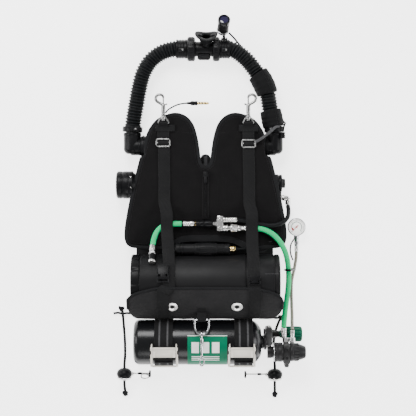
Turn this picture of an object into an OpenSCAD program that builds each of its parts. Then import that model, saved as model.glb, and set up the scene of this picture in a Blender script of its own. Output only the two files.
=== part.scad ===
// Chest-mounted closed-circuit breathing apparatus, lying on its back.
// +X runs towards the cylinder's valve, +Y up to the mouthpiece and +Z outwards from the wearer's chest.
// The origin is on the back face of the vest, on its centre line.

/* [Vest] */
// Thickness of the vest with its counterlungs part filled
vest_t = 66; // [60:1:72]
// Thickness of the cover cloth and foam
cover_t = 5; // [4:1:7]
// Width of the harness webbing
strap_w = 30; // [25:1:32]

/* [Scrubber] */
// Radius of the scrubber canister
can_r = 70; // [68:1:71]
// Length of the scrubber canister
can_l = 366; // [340:2:366]

/* [Gas supply] */
// Radius of the oxygen cylinder
cyl_r = 56; // [54:0.5:56]
// Length of the cylinder's straight wall
cyl_wall_l = 278; // [240:2:280]
// Width of the cam bands
band_w = 46; // [38:1:50]

/* [Breathing loop] */
// Outer radius of the corrugated hoses
hose_r = 21; // [18:0.5:21]
// Outer radius of the mouthpiece valve's body
dsv_r = 18.5; // [18:0.25:18.5]
// Radius of the ring nuts
nut_r = 30.5; // [29:0.5:30.5]
// Outer radius of the elbows
elbow_r = 22; // [21:0.5:22]

/* [Hidden] */
$fn = 48;

run = 0.05;                    // radial clearance of a running fit
gap = 0.3;                     // clearance between neighbours
far = 300;                     // length of a cutter that has to pass right through
vest_top = vest_t;
band_t = 2.5;                  // thickness of the cam bands and the webbing
can_y = -185;
can_z = can_r;
can_x0 = -can_l / 2;
cyl_y = -334;
cyl_z = cyl_r + gap + band_t;  // the bands lie between the cylinder and the ground
cyl_x0 = -178;
cyl_x1 = cyl_x0 + 11 + cyl_wall_l;
loop_z = 31;
port_y = 154;
elbow_left_x = -184;
elbow_right_x = 173;
dsv_y = 400;
dsv_x0 = -46;
dsv_x1 = 36;
mouth_x = 2;
mouth_tilt = -45;
lung_valve_z = 35;
adv_y = 58;
adv_r = 34.5;
add_y = 62;
add_r = 22;
gas_z = vest_top + 12;         // height of the gas line's axis over the vest
hose_top = gas_z + 7.5;        // the webbing crosses over the gas hoses
strap_z = vest_top + gap;

// The right half of the vest's outline, from the middle of the hem round to the bottom of the neck notch
half_outline = [
  [0, -86], [70, -86], [98, -102], [168, -101], [191, -96], [201, -82], [202.5, -56], [196, -12],
  [183, 50], [164, 126], [152, 167], [142, 196], [118, 224], [79, 238], [50, 231], [30, 209],
  [19.5, 175], [15, 147], [12, 124], [8, 111], [0, 106]
];

// Routes of the hoses, cables and bungee cords
route_hose_left = [
  [-184, 193, 31], [-181, 222, 31], [-174, 262, 31], [-167, 300, 31], [-157, 338, 31],
  [-138, 370, 31], [-110, 391, 31], [-78, 400, 31], [-48, 400, 31]
];
route_hose_right = [
  [173, 193, 31], [168, 222, 31], [161, 258, 31], [155, 290, 31], [141, 322, 31],
  [122, 350, 31], [98, 378, 31], [66, 399, 31], [38, 400, 31]
];
route_green_left = [
  [-59, -39, 78], [-74, -39, 78], [-92, -41, 78], [-108, -47, 78], [-120, -59, 80],
  [-127, -76, 86], [-130, -92, 95]
];
route_green_right = [
  [100, -50, 78], [122, -50, 78], [146, -54, 78], [168, -66, 78], [186, -86, 76],
  [199, -112, 68], [206, -142, 57], [208, -175, 48], [206, -210, 45], [201, -245, 48],
  [197, -275, 54], [195, -298, 59]
];
route_gauge = [
  [230, -110, 15], [229, -130, 10], [225, -155, 6], [219, -185, 5], [218, -215, 6],
  [218, -245, 14], [218, -270, 28], [217, -290, 44], [217, -304, 56]
];
route_black = [
  [207, 6, 35], [208, -8, 44], [204, -24, 60], [190, -37, 71], [168, -43, 75],
  [140, -41, 76], [108, -34, 77], [78, -29, 78]
];
route_bungee_left = [
  [-211, -262, 4], [-208, -295, 4], [-205, -335, 4], [-204, -372, 8], [-205, -396, 18.5],
  [-205, -445, 18.5], [-204, -464, 5]
];
route_bungee_right = [
  [188, -284, 5], [180, -305, 5], [174, -330, 5], [173, -366, 9], [175, -398, 18.5],
  [175, -448, 18.5], [176, -467, 5]
];
route_sensor = [
  [-99, 236, 69.5], [-94, 243, 69], [-84, 250, 67], [-69, 257, 65], [-52, 260.5, 63], [-37, 261, 62]
];
route_hud = [
  [59, 438, 49], [76, 430, 40], [95, 416, 26], [117, 383, 12], [136, 361, 12], [153, 337, 12],
  [166, 312, 12], [175, 284, 12], [179, 260, 12], [183, 236, 12], [192, 218, 21],
  [201, 206, 37], [199, 198, 48], [194, 191, 51]
];

// ---------- functions ----------

// A point on the smooth curve through b and c, t of the way between them
function curve(a, b, c, d, t) =
  0.5 * ((2 * b) + (c - a) * t + (2 * a - 5 * b + 4 * c - d) * t * t + (3 * b - a - 3 * c + d) * t * t * t);
// The smooth curve through points p, with n steps between neighbours
function smooth(p, n) = [
  for (i = [0:len(p) - 2], k = [0:n - 1])
    curve(p[max(i - 1, 0)], p[i], p[i + 1], p[min(i + 2, len(p) - 1)], k / n),
  p[len(p) - 1]
];
function unit(v) = v / norm(v);
function heading(p, i) = unit(p[min(i + 1, len(p) - 1)] - p[max(i - 1, 0)]);
function longer(p, d) = [
  p[0] - d * heading(p, 0),
  each p,
  p[len(p) - 1] + d * heading(p, len(p) - 1)
];

// ---------- shapes ----------

module xcyl(x0, x1, y, z, r) translate([x0, y, z]) rotate([0, 90, 0]) cylinder(h = x1 - x0, r = r);
module ycyl(y0, y1, x, z, r) translate([x, y0, z]) rotate([-90, 0, 0]) cylinder(h = y1 - y0, r = r);
module zcyl(z0, z1, x, y, r) translate([x, y, z0]) cylinder(h = z1 - z0, r = r);
module box(a, b) translate(a) cube(b - a);
module rod(a, b, r) {
  d = b - a;
  translate(a)
    rotate([0, acos(d.z / norm(d)), atan2(d.y, d.x)])
      cylinder(h = norm(d), r = r);
}
module torus(big, small) rotate_extrude() translate([big, 0]) circle(small);
// A stadium: a bar of width w and height h with round ends
module stadium(w, h) {
  square([w - h, h], center = true);
  for (s = [-1, 1]) translate([s * (w - h) / 2, 0]) circle(h / 2);
}
// A round tube along path p
module sweep(p, r, sides) {
  points = [
    for (i = [0:len(p) - 1])
      let (t = heading(p, i), u = unit(cross(t, [0, 0, 1])), v = cross(u, t))
        for (k = [0:sides - 1]) p[i] + r * (cos(360 * k / sides) * u + sin(360 * k / sides) * v)
  ];
  last = (len(p) - 1) * sides;
  polyhedron(points, [
    [for (k = [sides - 1:-1:0]) k],
    for (i = [0:len(p) - 2], k = [0:sides - 1])
      let (n = (k + 1) % sides, a = i * sides, b = a + sides) [a + k, a + n, b + n, b + k],
    [for (k = [0:sides - 1]) last + k]
  ]);
}
// Flat webbing w wide in X along path p of its lower face, which runs towards -Y
module webbing(p, w, t) {
  points = [
    for (i = [0:len(p) - 1])
      let (up = unit(cross(heading(p, i), [1, 0, 0])))
        each [
          p[i] - [w / 2, 0, 0], p[i] + [w / 2, 0, 0],
          p[i] + [w / 2, 0, 0] + t * up, p[i] - [w / 2, 0, 0] + t * up
        ]
  ];
  last = (len(p) - 1) * 4;
  polyhedron(points, [
    [0, 1, 2, 3],
    for (i = [0:len(p) - 2], k = [0:3])
      let (n = (k + 1) % 4, a = i * 4, b = a + 4) [a + k, b + k, b + n, a + n],
    [last + 3, last + 2, last + 1, last]
  ]);
}

// ---------- vest ----------

module vest_outline(inset) {
  right = smooth(half_outline, 3);
  left = [for (i = [len(right) - 2:-1:1]) [-right[i].x, right[i].y]];
  offset(delta = -inset) polygon(concat(right, left));
}
module lung_outline(inset) intersection() {
  vest_outline(inset);
  union() {
    translate([inset, -far]) square([far, 2 * far]);
    translate([-inset - far, -far]) square([far, 2 * far]);
  }
}
module vest_cover() color([0.05, 0.05, 0.06]) difference() {
  union() {
    for (slab = [[3, 10, 9], [10, vest_t - 16, 0], [vest_t - 16, vest_t - 7, 5], [vest_t - 7, vest_t, 13]])
      translate([0, 0, slab[0]]) linear_extrude(slab[1] - slab[0]) vest_outline(slab[2]);
  }
  translate([0, 0, 3 + cover_t]) linear_extrude(vest_t - 3 - 2 * cover_t) lung_outline(15);
  // Seats and through-holes of the loop ports and the two addition valves
  xcyl(-far, -149, port_y, loop_z, 27.5);
  xcyl(148.4, far, port_y, loop_z, 27.5);
  for (x = [-149 - far, 148.4]) box([x, port_y - 23.5, loop_z], [x + far, port_y + 23.5, far]);
  xcyl(-far, far, port_y, loop_z, 18.3);
  xcyl(-far, -180.7, adv_y, lung_valve_z, adv_r + 0.5);
  xcyl(-far, 0, adv_y, lung_valve_z, 15.3);
  xcyl(172.7, far, add_y, lung_valve_z, add_r + 0.5);
  xcyl(0, far, add_y, lung_valve_z, 10.3);
  box([174.5, 16, lung_valve_z - 9], [far, 62, lung_valve_z + 9]);
}
module counterlungs() color([0.2, 0.2, 0.22]) difference() {
  translate([0, 0, 3 + cover_t + 1]) linear_extrude(vest_t - 3 - 2 * cover_t - 2) lung_outline(17);
  translate([0, 0, 3 + cover_t + 3]) linear_extrude(vest_t - 3 - 2 * cover_t - 6) lung_outline(19);
  xcyl(-far, far, port_y, loop_z, 18.3);
  xcyl(-far, 0, adv_y, lung_valve_z, 15.3);
  xcyl(0, far, add_y, lung_valve_z, 10.3);
}
// The stiff back sheet: its tongue shows in the foot of the notch, and its tail lies under the canister
module back_panel() color([0.04, 0.04, 0.05]) {
  linear_extrude(2.7) {
    vest_outline(11);
    translate([-10, 60]) square([20, 74]);
    translate([-160, -156]) square([320, 80]);
  }
}
module zip_chain() color([0.1, 0.1, 0.1]) {
  box([-9, -28, vest_top + 0.1], [9, 92, vest_top + 0.9]);
  box([-2.5, -26, vest_top + 0.9], [2.5, 91, vest_top + 2.2]);
}
module zip_slider() color([0.25, 0.25, 0.26]) {
  difference() {
    box([-5, 77, vest_top + 1.2], [5, 90, vest_top + 6]);
    box([-2.9, 76, vest_top + 1.1], [2.9, 91, vest_top + 2.6]);
  }
  translate([0, 70, vest_top + 4.6]) linear_extrude(1.8) difference() {
    union() {
      translate([0, 2]) square([8, 14], center = true);
      translate([0, -5]) circle(4);
    }
    translate([0, -5]) circle(1.8);
  }
}
// Where the cover cloth lies over the canister: its radius grows towards the cylinder
function pouch_r(a) = can_r + 4 + 14 * pow(max(0, a - 100) / 80, 1.5);
function on_pouch(a, lift) = [can_y + (pouch_r(a) + lift) * cos(a), can_z + (pouch_r(a) + lift) * sin(a)];
// A strap's lower face: along the vest, up onto the canister, over the pouch
function strap_path(x_top, x_mid, x_hem, x_can, x_low) = [
  [x_top, 205, strap_z], [(x_top + x_mid) / 2, 125, strap_z], [x_mid, 53, strap_z],
  [x_mid, 12, strap_z + 4], [x_hem, -18, hose_top], [x_hem, -64, hose_top + 1],
  for (a = [47:12:95]) [x_can, can_y + (can_r + 0.6) * cos(a), can_z + (can_r + 0.6) * sin(a)],
  for (a = [104, 118, 132, 146, 160, 170]) [x_low, on_pouch(a, 3.4).x, on_pouch(a, 3.4).y]
];
module straps() color([0.08, 0.08, 0.09]) {
  webbing(strap_path(-105, -102, -95, -89, -103), strap_w, band_t);
  webbing(strap_path(106, 109, 115, 118, 120), strap_w, band_t);
  for (x = [-100, 107])
    translate([x, 199, strap_z + band_t + 0.2]) linear_extrude(3) square([48, 16], center = true);
}
// A sliding bar buckle lying on the webbing
module triglide(x, y) translate([x, y, strap_z + band_t + 0.2]) linear_extrude(2.2) difference() {
  square([36, 21], center = true);
  for (s = [-1, 1]) translate([0, s * 5]) square([30.5, 5], center = true);
}
// The fixed eye of a bolt snap, with the barrel that its swivel turns in
module snap_eye(x) translate([x, 0, snap_z]) difference() {
  union() {
    rod([-14, 211, 0], [14, 211, 0], 2.2);
    for (s = [-1, 1]) rod([s * 14, 211, 0], [s * 5, 224, 0], 2.2);
    for (s = [-1, 1]) translate([s * 14, 211, 0]) sphere(2.2);
    ycyl(221, 229, 0, 0, 6);
  }
  ycyl(215, 235, 0, 0, 3 + run);
}
snap_z = vest_top + 9;
snap_left_x = -104.5;
snap_right_x = 106;
// The side arms and the cross bars of a cam buckle, in the frame of the band at angle cam_tilt
cam_tilt = 28;
cam_pivot_y = 24;
cam_pivot_r = cyl_r + band_t + 6.5;
cam_left_x = -101;
cam_right_x = 89;
module on_band(x) translate([x, cyl_y, cyl_z]) rotate([cam_tilt, 0, 0]) children();
module cam_frame(x) difference() {
  on_band(x) {
    for (s = [-1, 1]) translate([s * 30, 0, 0]) difference() {
      box([-1.5, -33, cyl_r + band_t - 4], [1.5, 33, cam_pivot_r + 4.5]);
      xcyl(-3, 3, cam_pivot_y, cam_pivot_r, 2 + run);
    }
    box([-30, -33, cyl_r + band_t - 1], [30, -29, cyl_r + band_t + 3]);
  }
  xcyl(x - 40, x + 40, cyl_y, cyl_z, cyl_r + gap + band_t + 0.3);
}
module strap_hardware() color([0.75, 0.76, 0.78]) {
  triglide(-105, 162);
  triglide(107, 160);
  snap_eye(snap_left_x);
  snap_eye(snap_right_x);
  cam_frame(cam_left_x);
  cam_frame(cam_right_x);
}
// A side-release buckle on the canister, bent to its curve
module release_buckle(x, a0, a1) intersection() {
  xcyl(x - 15, x + 15, can_y, can_z, can_r + 13);
  difference() {
    xcyl(x - 16, x + 16, can_y, can_z, can_r + 9.5);
    xcyl(x - 17, x + 17, can_y, can_z, can_r + band_t + 1.6);
  }
  translate([x - 30, can_y, can_z]) rotate([90, 0, 90])
    linear_extrude(60) polygon([
      [0, 0], [140 * cos(a0), 140 * sin(a0)], [140 * cos((a0 + a1) / 2), 140 * sin((a0 + a1) / 2)],
      [140 * cos(a1), 140 * sin(a1)]
    ]);
}
module buckles() color([0.03, 0.03, 0.03]) {
  release_buckle(-103, 52, 86);
  release_buckle(119, 74, 90);
}

// ---------- ports and addition valves ----------

// A counterlung port: a flange on the vest and the spigot that an elbow turns on
module loop_port(flange_x0, flange_x1, spigot_x0, spigot_x1) difference() {
  union() {
    xcyl(flange_x0, flange_x1, port_y, loop_z, 27);
    xcyl(spigot_x0, spigot_x1, port_y, loop_z, 18 - run);
  }
  xcyl(spigot_x0 - 1, spigot_x1 + 1, port_y, loop_z, 15);
}
module loop_ports() color([0.04, 0.04, 0.04]) {
  loop_port(-161.7, -149.3, -178, -136);
  loop_port(148.8, 150.7, 136, 168);
}
module adv_body() color([0.03, 0.03, 0.03]) {
  difference() {
    union() {
      xcyl(-210, -181, adv_y, lung_valve_z, adv_r);
      xcyl(-181.1, -166, adv_y, lung_valve_z, 15);
    }
    xcyl(-211, -190, adv_y, lung_valve_z, adv_r - 2.5);
    xcyl(-191, -165, adv_y, lung_valve_z, 11);
  }
}
module adv_button() color([0.05, 0.05, 0.05]) difference() {
  union() {
    xcyl(-224, -215, adv_y, lung_valve_z, adv_r - 1);
    xcyl(-215.1, -201, adv_y, lung_valve_z, adv_r - 2.5 - run);
  }
  xcyl(-220, -200, adv_y, lung_valve_z, adv_r - 6);
}
module o2_valve() color([0.05, 0.05, 0.05]) difference() {
  union() {
    xcyl(173, 192, add_y, lung_valve_z, add_r);
    xcyl(160, 173.1, add_y, lung_valve_z, 10);
    ycyl(28, 60, 183, lung_valve_z, 8);
  }
  xcyl(184, 193, add_y, lung_valve_z, 12);
  xcyl(159, 185, add_y, lung_valve_z, 5);
}
module o2_button() color([0.12, 0.12, 0.12]) difference() {
  xcyl(186.5, 200, add_y, lung_valve_z, 12 - run);
  xcyl(197.5, 201, add_y, lung_valve_z, 8);
}

// ---------- scrubber ----------

module canister() color([0.03, 0.03, 0.03]) {
  difference() {
    union() {
      xcyl(can_x0 + 22, -can_x0, can_y, can_z, can_r);
      xcyl(can_x0 + 10, can_x0 + 23, can_y, can_z, can_r - 5);
    }
    xcyl(can_x0 - 1, -can_x0 - 8, can_y, can_z, can_r - 8);
    for (x = [100, 170]) translate([x, can_y, can_z]) rotate([0, 90, 0]) torus(can_r + 1, 2.5);
  }
}
module canister_lid() color([0.05, 0.05, 0.05]) difference() {
  xcyl(can_x0, can_x0 + 21.5, can_y, can_z, can_r);
  xcyl(can_x0 + 6, can_x0 + 22, can_y, can_z, can_r - 5 + run);
  for (k = [0:11])
    translate([can_x0 - 1, can_y, can_z]) rotate([30 * k, 0, 0]) translate([0, can_r + 1.5, 0])
      rotate([0, 90, 0]) cylinder(h = 18, r = 4);
}
// The sorbent basket: end plates, a perforated wall and the packed granules inside it
module scrubber() color([0.8, 0.8, 0.76]) difference() {
  xcyl(can_x0 + 30, -can_x0 - 20, can_y, can_z, can_r - 9);
  xcyl(can_x0 + 29, -can_x0 - 19, can_y, can_z, 12);
}
function pouch_edge() = [
  [-122, -196], [-168, -208], [-188, -219], [-191, -234], [-183, -248], [-176, -266], [-152, -274],
  [152, -274], [168, -266], [184, -247], [187, -232], [183, -218], [165, -207], [122, -196]
];
module pouch() color([0.08, 0.08, 0.09]) difference() {
  union() {
    intersection() {
      translate([-200, 0, 0]) rotate([90, 0, 90]) linear_extrude(400) polygon([
        for (a = [101:8:197]) on_pouch(a, 0),
        for (a = [197:-8:101]) [can_y + (can_r + gap) * cos(a), can_z + (can_r + gap) * sin(a)]
      ]);
      linear_extrude(far) polygon(pouch_edge());
    }
    // The tab that holds the D-ring
    translate([d_ring_x, 0, 0]) hull() {
      xcyl(-8, 8, d_ring_y, d_ring_z, 4.5);
      xcyl(-8, 8, on_pouch(152, 0).x, on_pouch(152, 0).y, 2.5);
    }
  }
  xcyl(d_ring_x - 20, d_ring_x + 20, d_ring_y, d_ring_z, 2.5 + run);
  for (x = grommet_x) on_pouch_at(x) {
    cylinder(h = 60, r = grommet_hole + 1.5, center = true);
    translate([0, 0, -1]) cylinder(h = 20, r = 14.2);
  }
  // Room for the cam bands
  for (x = [cam_left_x - 2, cam_right_x + 5]) xcyl(x - 26, x + 26, cyl_y, cyl_z, cyl_r + band_t + 2);
}
d_ring_x = -9;
d_ring_y = -273;
d_ring_z = 118;
grommet_x = [-81, 77];
grommet_a = 136;
grommet_hole = 5.5;
module on_pouch_at(x) {
  p = on_pouch(grommet_a, 0);
  translate([x, p.x, p.y]) rotate([grommet_a - 97, 0, 0]) children();
}
module grommets() color([0.85, 0.85, 0.87])
  for (x = grommet_x) on_pouch_at(x) difference() {
    union() {
      translate([0, 0, -0.9]) cylinder(h = 2, r = 14);
      translate([0, 0, -6]) cylinder(h = 6, r = grommet_hole + 1.4);
    }
    translate([0, 0, -10]) cylinder(h = 20, r = grommet_hole);
  }
module d_ring() color([0.75, 0.76, 0.78]) translate([d_ring_x, d_ring_y, d_ring_z]) {
  rod([-17, 0, 0], [17, 0, 0], 2.5);
  for (s = [-1, 1]) {
    translate([s * 17, 0, 0]) sphere(2.5);
    ycyl(-18, 0, s * 17, 0, 2.5);
  }
  translate([0, -18, 0]) rotate([0, 0, 180]) rotate_extrude(angle = 180) translate([17, 0]) circle(2.5);
}
hang_y = d_ring_y - 35;
// A slim swivel snap that hangs on the D-ring
module hanging_snap() color([0.7, 0.7, 0.72]) translate([d_ring_x, hang_y, d_ring_z + 2]) {
  difference() {
    xcyl(-2, 2, -1, 0, 8.6);
    xcyl(-3, 3, -1, 0, 4.9);
  }
  ycyl(-24, -9, 0, 0, 4);
  ycyl(-58, -23.9, 0, 0, 3);
  translate([0, -66, 0]) difference() {
    translate([0, 0, -2]) linear_extrude(4) rotate(90) stadium(22, 13);
    translate([0, 0, -3]) linear_extrude(6) rotate(90) stadium(14, 6);
  }
}

// ---------- cylinder ----------

// Half section of the cylinder, the axis along the first coordinate
function shell(inset) = let (r = cyl_r - inset, w = cyl_x1 - cyl_x0, c = 14) [
  [inset, 0], [inset, r - c],
  for (a = [0:15:90]) [inset + c - c * cos(a), r - c + c * sin(a)],
  for (a = [0:9:63]) [w - 4 + (r * 0.62) * sin(a), r - r * 0.62 * (1 - cos(a)) * 1.25]
];
module cylinder_solid(inset, neck_r, neck_x) {
  s = shell(inset);
  translate([cyl_x0, cyl_y, cyl_z]) rotate([0, 90, 0]) rotate_extrude()
    polygon([for (p = s) [p[1], p[0]], [neck_r, s[len(s) - 1][0] + 1], [neck_r, neck_x], [0, neck_x]]);
}
module cylinder_tank() cylinder_solid(0, 17, 145 - cyl_x0);
module inner_tank() cylinder_solid(9, 12.5, 146 - cyl_x0);
module cylinder_node() color([0.7, 0.72, 0.73]) difference() {
  cylinder_tank();
  inner_tank();
}
module cam_bands() color([0.07, 0.07, 0.08])
  for (x = [cam_left_x - 2, cam_right_x + 5]) difference() {
    xcyl(x - band_w / 2, x + band_w / 2, cyl_y, cyl_z, cyl_r + gap + band_t);
    xcyl(x - band_w, x + band_w, cyl_y, cyl_z, cyl_r + gap);
  }
module cam_lever(x) on_band(x) {
  xcyl(-33, 33, cam_pivot_y, cam_pivot_r, 2);
  xcyl(-28, 28, cam_pivot_y, cam_pivot_r, 4);
  box([-28, 2, cam_pivot_r + 1.5], [28, cam_pivot_y, cam_pivot_r + 4]);
}
module cam_lever_left() color([0.78, 0.79, 0.8]) cam_lever(cam_left_x);
module cam_lever_right() color([0.78, 0.79, 0.8]) cam_lever(cam_right_x);

// ---------- cylinder valve and regulator ----------

knob_y = -317;
knob_z = 30;
reg_y = -359;
reg_z = 60;
module valve_body() color([0.06, 0.06, 0.06]) difference() {
  union() {
    xcyl(118, 146, cyl_y, cyl_z, 12.3);
    xcyl(145.3, 152, cyl_y, cyl_z, 19);
    box([150, -342, 17], [166, -297, cyl_z + 15]);
    xcyl(165, 178, knob_y, knob_z, 11);
    xcyl(178, 186, knob_y, knob_z, 8);
  }
  xcyl(117, 151, cyl_y, cyl_z, 4);
  xcyl(160, 187, knob_y, knob_z, 4 + run);
}
module valve_knob() color([0.05, 0.35, 0.2]) {
  difference() {
    union() {
      xcyl(199, 243, knob_y, knob_z, 17);
      for (k = [0:11])
        translate([0, knob_y, knob_z]) rotate([30 * k, 0, 0]) xcyl(201, 241, 16, 0, 2.8);
    }
    xcyl(239, 244, knob_y, knob_z, 11);
  }
  xcyl(168, 200, knob_y, knob_z, 4);
  xcyl(186.4, 199.5, knob_y, knob_z, 9);
}
module first_stage() color([0.1, 0.1, 0.1]) difference() {
  union() {
    xcyl(154, 171, reg_y, reg_z, 15);
    xcyl(168.5, 191.5, reg_y, reg_z, 24);
    xcyl(191, 194, reg_y, reg_z, 19);
    box([193, -388, reg_z - 17], [211, -337, reg_z + 17]);
    xcyl(211, 236, reg_y, reg_z, 20);
    xcyl(236, 250, reg_y, reg_z, 15);
    for (z = [-8, 8]) ycyl(-396, -387, 202, reg_z + z, 5.5);
  }
  // The spare high-pressure port, and the passage to it
  ycyl(-397, -372, 202, reg_z + 8, 3);
  xcyl(153, 184, reg_y, reg_z, 4);
  ycyl(-347.1, -330, 158, cyl_z, 6.1);
}
// End fittings of the gas hoses, and the connector between the valve and the regulator
module hose_fittings() color([0.78, 0.76, 0.7]) {
  // Canister end of the left hose
  difference() {
    union() {
      rod([-130, -93.9, 96.7], [-130, -112, 112.5], 7.5);
      rod([-130, -112, 112.5], [-130, -134, 129], 9);
    }
    xcyl(-160, -100, can_y, can_z, can_r + 0.1);
  }
  // Valve connector
  difference() {
    ycyl(-347, -342.1, 158, cyl_z, 6);
    ycyl(-350, -340, 158, cyl_z, 3);
  }
  // Regulator ends of the right-hand green hose and of the gauge hose
  rod([195, -300, 59.1], [196, -322, reg_z], 7.5);
  ycyl(-336.8, -322.1, 200, reg_z, 8);
  rod([216.8, -307.2, 56.8], [216, -322, reg_z], 5.5);
  difference() {
    ycyl(-338, -322.1, 216, reg_z, 7);
    ycyl(-340, -320, 200, reg_z, 8.2);
    xcyl(208, 240, reg_y, reg_z, 20.2);
    box([190, -388, reg_z - 17], [211.2, -336.9, reg_z + 17]);
  }
  // The right addition valve's elbow and hose end
  difference() {
    rod([183, 27.6, lung_valve_z], [207, 24, lung_valve_z], 7);
    ycyl(28 - 0.2, 60, 183, lung_valve_z, 9);
  }
  rod([207, 26, lung_valve_z], [207, 9.6, lung_valve_z], 6.5);
  // Gauge hose end
  ycyl(-108.4, -96.3, gauge_x, 15, 5.5);
  // Sleeve of the black hose and nose of the right-hand quick connector
  xcyl(44.4, 76.8, -29, gas_z, 7);
  xcyl(80.2, 100, -50, gas_z, 8);
  // Crimp of the left hose
  xcyl(-59, -29, -39, gas_z, 7.5);
}
module gas_block() color([0.75, 0.76, 0.78]) difference() {
  union() {
    box([28, -57, gas_z - 8], [44, -19, gas_z + 8]);
    xcyl(18.2, 28.1, -39, gas_z, 6);
    xcyl(43.9, 80, -50, gas_z, 6.5);
    xcyl(43.9, 56, -50, gas_z, 9);
  }
  xcyl(17, 81, -50, gas_z, 2.5);
  xcyl(17, 30, -39, gas_z, 2.5);
}
module qd_sleeve() color([0.8, 0.8, 0.82]) difference() {
  union() {
    xcyl(62, 79.6, -50, gas_z, 10);
    xcyl(62, 68, -50, gas_z, 11.5);
  }
  xcyl(61, 81, -50, gas_z, 6.5 + run);
}
module inline_valve() color([0.05, 0.05, 0.05]) difference() {
  union() {
    xcyl(-14, 18, -39, gas_z, 9);
    xcyl(-28.8, -14, -39, gas_z, 7.5);
  }
  xcyl(-30, 19, -39, gas_z, 2.5);
}
module hose_green_left() color([0.05, 0.35, 0.2]) sweep(route_green_left, 6.8, 10);
module hose_green_right() color([0.05, 0.35, 0.2]) sweep(route_green_right, 6.8, 10);
module hose_gauge() color([0.45, 0.43, 0.4]) sweep(route_gauge, 4, 8);
module hose_black() color([0.06, 0.06, 0.06]) sweep(route_black, 5.4, 8);

// ---------- pressure gauge ----------

gauge_x = 230;
gauge_y = -48;
gauge_r = 23;
module gauge_case() color([0.6, 0.6, 0.62]) difference() {
  union() {
    zcyl(1, 27, gauge_x, gauge_y, gauge_r);
    ycyl(-78, -70, gauge_x, 15, 7);
    ycyl(-96, -77.9, gauge_x, 15, 5.5);
  }
  zcyl(20, 28, gauge_x, gauge_y, gauge_r - 2.5);
}
module gauge_needle() color([0.8, 0.1, 0.1]) {
  translate([gauge_x, gauge_y, 21.3]) rotate([0, 0, 225]) linear_extrude(0.8)
    polygon([[-5, -1.4], [16, -0.4], [16, 0.4], [-5, 1.4]]);
  zcyl(20.2, 22.6, gauge_x, gauge_y, 2.4);
}

// ---------- electronics module ----------

module_y = -101;
module_z = 91;
module module_node() color([0.06, 0.06, 0.06]) {
  xcyl(-76, -26, module_y, module_z, 13);
  xcyl(-26, 29, module_y, module_z, 14.6);
  xcyl(29, 61, module_y, module_z, 13);
  xcyl(61, 74, module_y, module_z, 8);
  xcyl(74, 99, module_y, module_z, 3);
}

// ---------- bungees ----------

module bungee(p, top, bottom) {
  sweep(p, 3.3, 8);
  translate(top) sphere(7);
  translate(bottom) sphere(7);
}
module bungee_left() color([0.1, 0.1, 0.1]) bungee(route_bungee_left, [-213, -256, 7.1], [-204, -470, 7.1]);
module bungee_right() color([0.1, 0.1, 0.1]) bungee(route_bungee_right, [191, -278, 7.1], [176, -473, 7.1]);
// A bead on the bungee, with its clip and locking pin on one side
module stow(x, y, side, reach) translate([x, y, 18.5]) {
  rotate([90, 0, 0]) rotate_extrude()
    polygon([[3.5, -14.2], for (a = [-66:12:66]) [18.3 * cos(a), 14.5 * sin(a)], [3.5, 14.2]]);
  rod([side * 15, 0, 0], [side * 24, 0, 0], 5);
  rod([side * 24, 0, 0], [side * reach, 0, 0], 3);
  rod([side * reach, 0, 0], [side * (reach + 5), 0, 0], 9);
}
module stow_left() color([0.1, 0.1, 0.1]) stow(-205, -419, 1, 62);
module stow_right() color([0.1, 0.1, 0.1]) stow(175, -421, -1, 72);

// ---------- sensor cable ----------

module sensor_cable() color([0.06, 0.06, 0.06]) sweep(route_sensor, 1.9, 8);
module sensor_plug() color([0.8, 0.7, 0.35]) {
  xcyl(-36.9, -20, 261, 62, 5.5);
  xcyl(-20, 6, 261, 62, 3.6);
  translate([6, 261, 62]) sphere(3.6);
}

// ---------- bolt snaps ----------

// The turning part: pin, stem with the gate's bore, and hook
module snap(x, s) translate([x, 0, snap_z]) difference() {
  union() {
    ycyl(219, 232, 0, 0, 3);
    ycyl(229.4, 256, 0, 0, 5);
    translate([s * 9, 271, 0]) rotate([0, 0, s > 0 ? -15 : -35]) rotate_extrude(angle = 230) translate([10, 0]) circle(2.8);
    rod([s * 1.5, 255, 0], [s * 1.5, 262, 0], 3.4);
    rod([s * 17, 265, 0], [s * 3, 258, 0], 2.8);
  }
  ycyl(240, 290, 0, 0, 1.9 + run);
  box([s > 0 ? -12 : -1.2, 243, -1.3], [s > 0 ? 1.2 : 12, 290, 1.3]);
}
module gate(x, s) translate([x, 0, snap_z]) {
  ycyl(254, 276, 0, 0, 1.9);
  rod([0, 257, 0], [-s * 6.5, 257, 0], 1.1);
  rod([-s * 6.4, 257, 0], [-s * 9.6, 257, 0], 2.4);
}
module snap_left() color([0.7, 0.7, 0.72]) snap(snap_left_x, -1);
module snap_right() color([0.7, 0.7, 0.72]) snap(snap_right_x, 1);
module gate_left() color([0.8, 0.8, 0.82]) gate(snap_left_x, -1);
module gate_right() color([0.8, 0.8, 0.82]) gate(snap_right_x, 1);

// ---------- breathing loop ----------

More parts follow.
